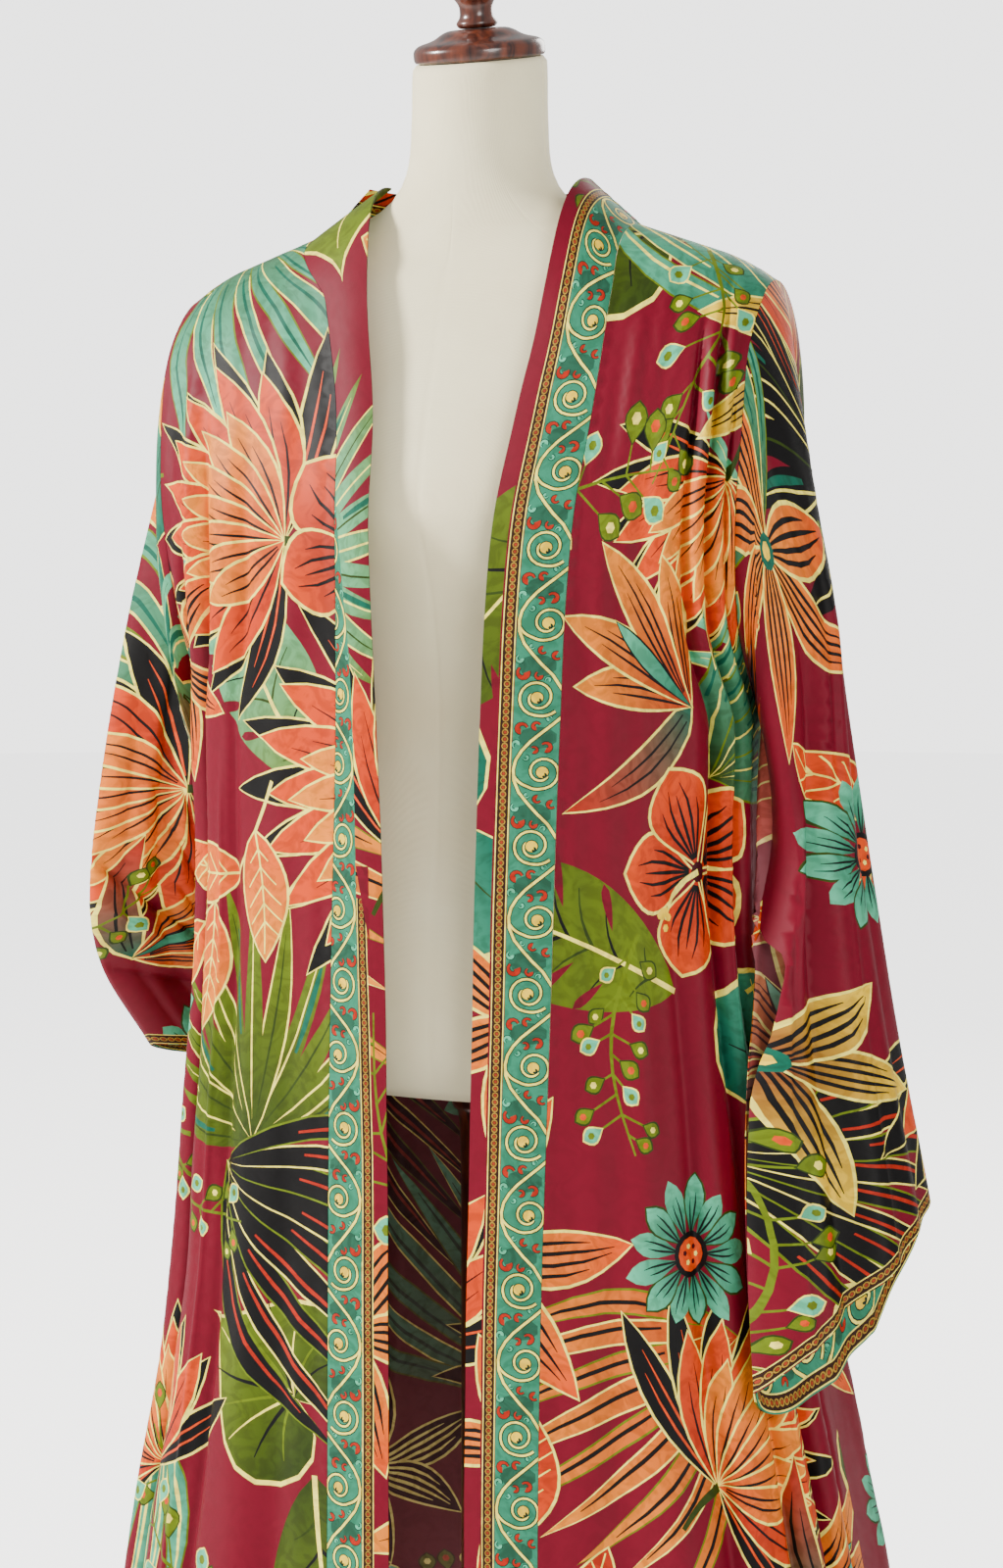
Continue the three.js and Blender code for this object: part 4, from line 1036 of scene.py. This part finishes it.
def add_front(side, surface, creases, seed):
    outline, hang, lines = panel_cut(surface, panel_long, front_edge_drop, 0, creases, lambda s: s)
    shapes = strewn(seed, -20, 400, 10, panel_long)
    piece = cloth(f"{side}_front", f"front_{side}", outline, shapes, hang, maroon, 7.5, lines)
    cut_size(outline)
    cut_area(outline)
    return piece


left_front = add_front("left", left_surface, left_creases, 23)
right_front = add_front("right", right_surface, right_creases, 37)

# ---------------------------------------------------------------- neck band
# A straight strip of border print, folded double and sewn round the whole front edge and the neck: a
# running scroll next to the seam, a chain of small rings, and a plain strip of the ground at the free edge.
scroll_green, shade_green, ink_green = dye("2b8062"), dye("235843"), dye("082a20")


# A comma curl: a line that winds in and swells to a round head.
def curl(shapes, x, y, turn, size, colour, way=1):
    a = turn + way * np.linspace(0, 4.4, 9)
    r = size * np.linspace(0.52, 0.2, 9)
    path = np.c_[x + np.cos(a) * r, y + np.sin(a) * r]
    stroke(shapes, path, size * 0.16 + 1.1, size * 0.5 + 1.3, ink_green)
    stroke(shapes, path, size * 0.14, size * 0.5, colour)


# One length of scroll, drawn across from the seam at x = 0. A vine swings from the seam to the chain and back
# at every repeat, and sends out one large coil and one smaller one, wound the other way, with curls between.
scroll_wide, scroll_repeat = 33, 112.0


def scroll(shapes, start, end):
    ground = np.array([(0, start), (scroll_wide, start), (scroll_wide, end), (0, end)], float)
    shapes.append((ground, scroll_green, scroll_green, (0, 0), (1, 0)))
    large_turn = np.radians([142, 90, 0, -90, -180, -270, -360, -395])
    small_turn = np.radians([8, 45, 90, 180, 270, 360, 450, 500])
    large_reach = [16.5, 13.3, 12.5, 11.4, 9.7, 7.8, 5.6, 4.6]
    small_reach = [20.5, 15, 12.4, 11.1, 10.1, 8.4, 6.2, 4.8]
    curls = [
        (27, 23.5, 3.4, 9, flame, 1), (16.5, 21.5, 3.6, 6.5, flame, 1), (7.5, 15.8, 3.4, 4, aqua, 1),
        (30, 35, 1.0, 6, aqua, -1), (8.5, 37.5, 5.6, 8, flame, -1), (17, 39.5, 5.4, 5.5, flame, -1),
        (22.5, 45, 0.4, 4, aqua, 1), (21.5, 73.5, 2.8, 4, aqua, -1), (14, 76, 2.6, 6, flame, -1),
        (4, 80, 2.4, 6.5, flame, -1), (29.5, 83, 5.2, 6, aqua, 1), (26.5, 93.5, 5.4, 10, flame, 1),
        (15.5, 95.5, 5.2, 6, flame, 1), (9, 98.5, 0.2, 4, aqua, -1),
    ]
    for y in np.arange(start - 40, end + 60, scroll_repeat):
        for low, across in ((30, 15), (88, 17)):
            spot(shapes, across, y + low, 14, shade_green, 9, 0.62)
        for x, down, turn, size, colour, way in curls:
            curl(shapes, x, y + down, turn, size, colour, way)
        vine = np.array([
            (-1.5, 14), (5, 20), (12, 26), (20, 33), (26, 40), (30, 47), (31.5, 54), (31, 62), (27, 71.5), (21, 79),
            (14, 87), (6, 95), (-1.5, 107),
        ]) + (0, y)
        coils = []
        for cx, cy, turns, reach in ((16.5, y, large_turn, large_reach), (10.8, y + 56, small_turn, small_reach)):
            t = np.linspace(0, 1, 34)
            a = np.interp(t * 7, np.arange(8), turns)
            r = np.interp(t * 7, np.arange(8), reach)
            coils.append((cx, cy, np.c_[cx + np.cos(a) * r, cy + np.sin(a) * r]))
        for path in (vine, coils[0][2], coils[1][2]):
            stroke(shapes, path, 3.6, 3.2, ink_green)
        for cx, cy, path in coils:
            stroke(shapes, path, 1.9, 1.5, cream)
            spot(shapes, cx, cy, 5.0, ink_green, 12)
            spot(shapes, cx, cy, 4.3, yellow, 12)
            curl(shapes, cx - 1.6, cy + 2.2, 0.4, 2.6, ink_green)
        stroke(shapes, vine, 2.1, 2.1, cream)


# A chain of rings between two thin lines, centred on x, from `start` to `end`.
def chain(shapes, x, start, end, wide=10.0):
    pitch = 5.2
    for half, colour in ((wide / 2, cream), (wide / 2 - 0.9, bark)):
        bar = np.array([(x - half, start), (x + half, start), (x + half, end), (x - half, end)], float)
        shapes.append((bar, colour, colour, (0, 0), (1, 0)))
    for y in np.arange(start + pitch / 2, end, pitch):
        spot(shapes, x, y, 2.5, gold, 8, 1.05)
        spot(shapes, x, y, 1.7, bark, 6)
        spot(shapes, x, y, 1.25, rust, 6)


# The band stands up above the neck by its lift.
band_wide, band_lift, chain_middle = 58.0, 37, 38.5


def front_band(side, band, panel_surface):
    edge_x, proud = line_through(band, 2), line_through(band, 3)

    def surface(s, t):
        seam = panel_surface(0 * s, t)
        z = seam[:, 2]
        drop = neck_height - z
        seam[:, 0] -= side * seam_gap
        x = edge_x(z)
        lift = band_lift * (1 - smooth(drop / 110))
        angle = angle_at(np.abs(side * x - shift_at(z)), z)
        depth = front_at(z) * np.cos(angle) ** 0.8 * turned_down(drop)
        edge = np.stack([side * x, np.minimum(-depth - proud(z) * turned_down(drop), -0.2), z + lift], -1)
        p = seam + (edge - seam) * s[:, None]
        p[:, 1] -= (2.5 * np.sin(np.pi * s) + 0.35 * np.sin(z / 23) * s) * turned_down(drop)
        return p

    surface.flip = -side
    return surface


def band_cut(surface, wide, length):
    def hang(flat):
        return hung(surface, np.clip(flat[:, 0] / wide, 0, 1), np.clip(flat[:, 1] / length, 0, 1))

    ys = np.linspace(0, length, 200)
    xs = np.linspace(0, wide, 12)
    outline = closed(
        np.c_[xs, 0 * xs], np.c_[0 * ys + wide, ys], np.c_[xs[::-1], 0 * xs + length], np.c_[0 * ys, ys[::-1]]
    )
    return outline, hang


# Shapes drawn from the seam at x = 0 to the free edge.
def border(length, seed):
    strip_from = 45.0
    shapes = strewn(seed, strip_from, band_wide + 60, 0, length, 190)
    cover = np.array([(0, 0), (strip_from, 0), (strip_from, length), (0, length)], float)
    shapes.append((cover, maroon, maroon, (0, 0), (1, 0)))
    scroll(shapes, 0, length)
    chain(shapes, chain_middle, 0, length)
    return shapes


left_band_surface = front_band(1, left_band_rows, left_surface)
outline, hang = band_cut(left_band_surface, band_wide, panel_long)
left_band = cloth("left_band", "band_left", outline, border(panel_long, 51), hang, maroon, 7.0, border=True)

# The right band is rolled under near the top, so its scroll comes out from under the front's edge.
right_band_surface = front_band(-1, right_band_rows, right_surface)
scroll_seen = [(0, 0), (250, 0), (335, 15), (370, 22), (450, 26), (610, 29), (760, 33), (1330, 33)]


def right_border():
    shapes = strewn(57, 20, 120, 0, panel_long, 170)
    parts = []
    scroll(parts, 0, panel_long)
    chain(parts, chain_middle, 565, panel_long)
    seen = np.array(scroll_seen, float)
    for outline, foot, tip, start, end in parts:
        moved = outline.copy()
        moved[:, 0] -= scroll_wide - np.interp(moved[:, 1], seen[:, 0], seen[:, 1])
        if moved[:, 0].max() > 0 and moved[:, 1].max() > 240:
            if len(moved) == 4:
                ys = np.linspace(moved[0, 1], moved[2, 1], 60)
                hide = scroll_wide - np.interp(ys, seen[:, 0], seen[:, 1])
                a, b = outline[:, 0].min(), outline[:, 0].max()
                moved = np.vstack([np.c_[np.maximum(a - hide, -1 if a == 0 else -50), ys], np.c_[b - hide, ys][::-1]])
            shapes.append((moved, foot, tip, start, end))
    tuck = np.array([(28, 540), (42, 540), (42, 600)], float)
    shapes.append((tuck, maroon, maroon, (0, 0), (1, 0)))
    return shapes


outline, hang = band_cut(right_band_surface, 56, panel_long)
right_band = cloth("right_band", "band_right", outline, right_border(), hang, maroon, 7.0, border=True)


def neck_surface(s, t):
    u = (1 - 2 * t) * 0.5
    foot = back_surface((1 - u) / 2, 0 * u)
    middle = 1 - (foot[:, 0] / neck_half) ** 2
    rise = band_lift + 15 * middle
    across = foot[:, 0] * np.where(foot[:, 0] < 0, 96, 92) / neck_half
    top = np.stack([across, foot[:, 1] * 0.88, foot[:, 2] + rise], -1)
    low = foot + (0, 0, seam_gap)
    p = low + (top - low) * s[:, None]
    p[:, 1] = np.maximum(p[:, 1] + 1.6 * np.sin(np.pi * s) * smooth(np.minimum(t, 1 - t) / 0.1), 0.2)
    return p


neck_surface.flip = 1
neck_long = 330
outline, hang = band_cut(neck_surface, band_wide, neck_long)
neck_band = cloth("neck_band", "band_neck", outline, border(neck_long, 61), hang, maroon, 7.0, border=True)

# ---------------------------------------------------------------- sleeves
# Wide straight sleeves, each one piece folded along the arm's upper edge with its seam under the arm, set
# into the armhole. The chain print runs round the hem. The left one is pressed flat and the right one is bent.
left_sleeve_rows = [
    (0.1, 256, 0, 1360, 245, -8, 1010, 62, 52, 0), (0.25, 266, 0, 1260, 250, -42, 935, 42, 24, 0),
    (0.42, 288, 4, 1140, 252, -72, 850, 30, 16, 0), (0.6, 311, 8, 1000, 253, -92, 760, 28, 14, 0),
    (0.78, 334, 10, 860, 259, -108, 668, 34, 12, 8), (1, 366, 12, 694, 270, -124, 566, 42, 14, 60),
]
right_sleeve_rows = [
    (0.1, -264, 0, 1360, -246, 4, 1010, 60, 58, 0), (0.25, -286, -2, 1260, -251, 24, 955, 44, 40, 0),
    (0.42, -316, -6, 1140, -264, 62, 900, 36, 32, 0), (0.6, -346, -2, 1005, -280, 104, 855, 32, 30, 0),
    (0.78, -369, 14, 898, -284, 152, 812, 30, 32, 0), (0.9, -378, 48, 826, -276, 202, 776, 30, 34, 6),
    (1, -356, 92, 752, -256, 246, 730, 32, 36, 20),
]
# Place round the sleeve, width, start along it, depth, slant and how sharp; below 1 on the front layer.
sleeve_folds = [
    (0.22, 0.07, 0.2, 4, 0, 2), (0.45, 0.07, 0.05, 6, 0, 2), (0.7, 0.07, 0.3, 5, 0, 2),
    (1.3, 0.07, 0.3, 3, 0, 2), (1.55, 0.07, 0.1, 3, 0, 2), (1.8, 0.07, 0.25, 3, 0, 2),
]
left_presses = [
    (0.31, 0.11, 0.16, 8, 0.16, 1), (0.6, 0.12, 0.12, -10, 0.05, 1), (0.82, 0.07, 0.2, 7, -0.03, 1),
    (0.14, 0.06, 0.4, -4, 0.05, 1), (1.42, 0.08, 0.3, -4, 0.03, 1), (1.68, 0.08, 0.35, -4, -0.03, 1),
]
right_presses = [
    (0.3, 0.09, 0.08, -7, 0.2, 1), (0.55, 0.08, 0.16, 6, -0.12, 1), (0.78, 0.07, 0.3, -7, -0.2, 1),
    (0.12, 0.05, 0.45, -4, 0.12, 1), (1.42, 0.08, 0.4, -4, 0.1, 1), (1.7, 0.08, 0.4, -4, -0.1, 1),
]
# Creases that run across the sleeve at the bend: place along it at the upper fold and at the seam, width,
# and depth at the two.
right_bends = [
    (0.5, 0.72, 0.02, 1, -12), (0.62, 0.76, 0.018, 2, -11), (0.73, 0.8, 0.018, -13, -8), (0.8, 0.84, 0.02, 9, -7),
    (0.9, 0.88, 0.014, -8, -6), (0.4, 0.66, 0.02, 0, -9),
]


armpit_z = 1060


def bulge_shape(v):
    return np.clip(4 * v * (1 - v), 0, 1) ** 0.6


def unit_rows(a):
    return a / np.maximum(np.linalg.norm(a, axis=-1)[..., None], 1e-9)


def sleeve_surface(side, rows, presses, bends, front_panel, back_s):
    def panel_edge(v, layer):
        top_z = ridge_at(shoulder_half)
        z = top_z + (armpit_z - top_z) * v**1.9
        t = length_of(top_z - z) / length_of(top_z - hem_z)
        if layer > 0:
            return front_panel(np.ones_like(v), t)
        return back_surface(np.full_like(v, back_s), t)

    ends = np.array([0.0, 1.0])
    seam_ends = (panel_edge(ends, 1) + panel_edge(ends, -1)) / 2
    table = [(0, *seam_ends[0], *seam_ends[1], 70, 70, 0), *rows]
    lines = [line_through(table, i) for i in range(1, 10)]

    def places(k):
        return np.stack([lines[i](k) for i in range(3)], -1), np.stack([lines[i](k) for i in range(3, 6)], -1)

    def plain(k, v, front):
        top, under = places(k)
        top_a, under_a = places(np.maximum(k - 0.03, 0))
        top_b, under_b = places(np.minimum(k + 0.03, 1))
        along = unit_rows(top_b + under_b - top_a - under_a)
        line = unit_rows(under - top)
        gap = under - top
        across = unit_rows(np.stack([-side * gap[:, 1], side * gap[:, 0], 0 * k], -1))
        out = np.array([0, -1.0, 0]) + (across - [0, -1.0, 0]) * smooth(k / 0.4)[:, None]
        out = unit_rows(out - line * (out * line).sum(1)[:, None])
        shape = bulge_shape(v)
        reach = np.where(front, lines[6](k), -lines[7](k)) * shape
        fall = lines[8](k) * shape * np.where(front, -0.25, 1)
        return top + (under - top) * v[:, None] + out * reach[:, None] + along * fall[:, None], out

    def surface(s, t):
        q, k = 2 * s - 1, t
        front, v = q >= 0, np.abs(q)
        p, out = plain(k, v, front)
        start, _ = plain(0 * k, v, front)
        edge = np.where(front[:, None], panel_edge(v, 1), panel_edge(v, -1))
        p += (edge - start) * (1 - smooth(k / 0.3))[:, None]
        place = np.where(front, v, 2 - v)
        height = np.zeros_like(v)
        for at, width, begin, depth, slant, sharp in sleeve_folds + presses:
            off = np.abs(place - at - slant * (k - 0.5)) / width
            height += depth * smooth((k - begin) / 0.15) * np.exp(-(off**sharp))
        for top, seam, width, rise, fall in bends:
            off = np.abs(k - top - (seam - top) * v) / width
            height += np.where(front, 1, 0.4) * (rise + (fall - rise) * v) * np.exp(-off)
        height += crumple(q * 250 + 400 * side, k * 700, 1.2) * smooth(k / 0.15)
        p += out * (np.where(front, 1, -1) * height * np.minimum(1, 2 * bulge_shape(v)))[:, None]
        p[:, 0] += side * seam_gap
        return p

    surface.flip = -side
    return surface


# The sleeve's flat cut has the arm's upper fold down its middle. The armhole and the hem slant away from it,
# because the sleeve hangs down from an upright armhole.
def sleeve_cut(surface, presses, bends, first, last, inset):
    ks = np.linspace(0, 1, 60)
    s = np.linspace(0, 1, 201)
    rings = [surface(s, np.full_like(s, k)) for k in ks]
    middle = np.array([(r[0] + r[100] + r[200]) / 3 for r in rings])
    along = unit_rows(np.gradient(middle, axis=0))
    half, slant = [], []
    for ring, way in zip(rings, along):
        step = np.diff(ring, axis=0)
        step -= (step @ way)[:, None] * way
        half.append(np.linalg.norm(step, axis=1).sum() / 2)
        slant.append(((ring[0] + ring[200]) / 2 - ring[100]) @ way)
    half, slant = np.array(half), np.array(slant)
    fold = np.array([r[100] for r in rings])
    run = np.concatenate([[0], np.cumsum((np.diff(fold, axis=0) * (along[1:] + along[:-1]) / 2).sum(1))])

    def to_flat(q, k):
        return np.c_[q * np.interp(k, ks, half), np.interp(k, ks, run) + np.interp(k, ks, slant) * np.abs(q)]

    def hang(flat):
        k = np.clip(flat[:, 1] / run[-1], 0, 1)
        for _ in range(30):
            q = np.clip(flat[:, 0] / np.interp(k, ks, half), -1, 1)
            k = (k + np.interp(flat[:, 1] - np.interp(k, ks, slant) * np.abs(q), run, ks)) / 2
        k = np.clip(k, first, last)
        p, n = hung(surface, (q + 1) / 2, k)
        return p - n * inset, n

    q, k = np.linspace(-1, 1, 121), np.linspace(first, last, 110 if first == 0 else 12)
    outline = closed(
        to_flat(q, 0 * q + first), to_flat(0 * k + 1, k), to_flat(q[::-1], 0 * q + last), to_flat(0 * k - 1, k[::-1])
    )
    wide = np.interp(last, ks, half)

    def hem(x):
        return np.interp(last, ks, run) + np.interp(last, ks, slant) * np.abs(x) / wide

    along = np.linspace(first, last, 80)
    near_seam = 0.97
    lines = [to_flat(0 * along + q, along) for q in (-near_seam, 0, near_seam)]
    for at, _, begin, _, slant_of, _ in presses:
        here = along[along > max(begin - 0.05, first)]
        round_at = at + slant_of * (here - 0.5)
        lines.append(to_flat(np.where(round_at > 1, round_at - 2, round_at), here))
    across = np.linspace(0.06, 0.94, 30)
    for top, seam, *_ in bends:
        for way in (-1, 1):
            here = top + (seam - top) * across
            if first < here.min() and here.max() < last:
                lines.append(to_flat(way * across, here))
    return outline, hang, wide, hem, lines


# Lays a border, drawn from x = 0 inwards and y along it, on the hem.
def along_hem(shapes, border_shapes, hem, wide):
    for loop, foot, tip, a, b in border_shapes:
        if len(loop) == 4:
            ys = np.linspace(-wide - 3, wide + 3, 80)
            low, high = loop[:, 0].min(), loop[:, 0].max()
            loop = np.vstack([np.c_[0 * ys + low, ys], np.c_[0 * ys + high, ys[::-1]]])
        shapes.append((np.c_[loop[:, 1], hem(loop[:, 1]) - loop[:, 0]], foot, tip, a, b))


# The facing covers the last sixteenth of the sleeve.
facing_from = 15 / 16


def add_sleeve(name, side, rows, presses, bends, front_panel, back_s, seed):
    surface = sleeve_surface(side, rows, presses, bends, front_panel, back_s)
    outline, hang, wide, hem, crease = sleeve_cut(surface, presses, bends, 0, 1, 0)
    low, high = outline.min(0), outline.max(0)
    shapes = strewn(seed, low[0], high[0], low[1], high[1])
    chained = []
    chain(chained, 6.5, -wide - 2, wide + 2, 11)
    along_hem(shapes, chained, hem, wide)
    piece = cloth(f"{name}_sleeve", f"sleeve_{name}", outline, shapes, hang, maroon, 6.5, crease)
    cut_size(outline)
    cut_area(outline)
    # The facing of border print is sewn inside the sleeve's end.
    outline, hang, wide, hem, crease = sleeve_cut(surface, presses, bends, facing_from, 1, wall + seam_gap)
    shapes, drawn = [], []
    scroll(drawn, -wide - 2, wide + 2)
    turned = [(loop + (11, 0), *rest) for loop, *rest in drawn]
    chain(turned, 6, -wide - 2, wide + 2)
    along_hem(shapes, turned, hem, wide)
    facing = cloth(
        f"{name}_cuff_facing", f"cuff_facing_{name}", outline, shapes, hang, scroll_green, 7.0, crease, border=True
    )
    straight = wide / 500
    cut_area(outline) / straight


add_sleeve("left", 1, left_sleeve_rows, left_presses, [], left_surface, 0.0, 71)
add_sleeve("right", -1, right_sleeve_rows, right_presses, right_bends, right_surface, 1.0, 83)

# ---------------------------------------------------------------- floor, light and camera
# A plain pale floor under soft studio lights.
def pale_floor():
    material, tree, shader = new_material("pale_floor")
    link = tree.links.new
    place = add_node(tree, "ShaderNodeTexCoord")
    mottle = add_node(tree, "ShaderNodeTexNoise", {"Scale": 1.5})
    link(place.outputs["Object"], mottle.inputs["Vector"])
    tone = add_ramp(tree, (0, (0.86, 0.855, 0.84)), (1, (0.90, 0.895, 0.88)))
    link(mottle.outputs["Fac"], tone.inputs["Fac"])
    link(tone.outputs["Color"], shader.inputs["Base Color"])
    set_sockets(shader, {"Roughness": 0.8})
    glow = add_node(tree, "ShaderNodeEmission", {"Strength": 2.2})
    sight = add_node(tree, "ShaderNodeLightPath")
    both, seen = add_node(tree, "ShaderNodeAddShader"), add_node(tree, "ShaderNodeMixShader")
    link(shader.outputs[0], both.inputs[0])
    link(glow.outputs[0], both.inputs[1])
    link(sight.outputs["Is Camera Ray"], seen.inputs[0])
    link(shader.outputs[0], seen.inputs[1])
    link(both.outputs[0], seen.inputs[2])
    link(seen.outputs[0], tree.nodes["Material Output"].inputs["Surface"])
    return material


floor_radius = 14
bm = bmesh.new()
bmesh.ops.create_circle(bm, cap_ends=True, segments=96, radius=floor_radius)
floor = finish_mesh(bm, "floor", pale_floor())

world = bpy.data.worlds.new("studio")
bpy.context.scene.world = world
world.use_nodes = True
sky = world.node_tree
backdrop = sky.nodes["Background"]
set_sockets(backdrop, {"Color": (1.0, 0.985, 0.965, 1), "Strength": 0.62})
bright = add_node(sky, "ShaderNodeBackground", {"Color": (1.0, 0.995, 0.985, 1), "Strength": 3.0})
sight, either = add_node(sky, "ShaderNodeLightPath"), add_node(sky, "ShaderNodeMixShader")
sky.links.new(sight.outputs["Is Camera Ray"], either.inputs[0])
sky.links.new(backdrop.outputs[0], either.inputs[1])
sky.links.new(bright.outputs[0], either.inputs[2])
sky.links.new(either.outputs[0], sky.nodes["World Output"].inputs["Surface"])


def softbox(name, place, target, size, power):
    data = bpy.data.lights.new(name, "AREA")
    data.shape = "DISK"
    data.size = size
    data.energy = power
    data.color = (1, 0.97, 0.93)
    lamp = bpy.data.objects.new(name, data)
    lamp.location = place
    lamp.rotation_euler = (Vector(target) - Vector(place)).to_track_quat("-Z", "Y").to_euler()
    bpy.context.scene.collection.objects.link(lamp)


softbox("window_light", (-3.5, -2.0, 3.1), (0, 0, 1.0), 1.0, 430)
softbox("fill_light", (3.0, -3.2, 2.0), (0, 0, 0.9), 2.0, 115)
softbox("back_light", (0.4, 3.4, 2.8), (0, 0, 1.1), 2.0, 80)

# The camera stands round to the wearer's left, and looks a little down. Its frame's half height and its lens
# are in pixels of a frame 1600 high, and its places are in metres.
camera_turn, camera_tilt = math.radians(22), math.radians(4.9)
camera_away, camera_aside, camera_height = 2.3, 0.017, 1.2
half_frame, lens = 800, 2922
right = Vector((math.cos(camera_turn), math.sin(camera_turn), 0))
ahead = Vector((-math.sin(camera_turn), math.cos(camera_turn), 0))
camera_data = bpy.data.cameras.new("camera")
camera_data.sensor_fit = "VERTICAL"
camera_data.angle_y = 2 * math.atan(half_frame / lens)
camera_data.clip_start, camera_data.clip_end = 0.1, 60
camera = bpy.data.objects.new("camera", camera_data)
camera.location = -camera_away * ahead + camera_aside * right + Vector((0, 0, camera_height))
look = ahead * math.cos(camera_tilt) - Vector((0, 0, math.sin(camera_tilt)))
camera.rotation_euler = look.to_track_quat("-Z", "Y").to_euler()
bpy.context.scene.collection.objects.link(camera)
bpy.context.scene.camera = camera

bpy.context.view_layer.update()
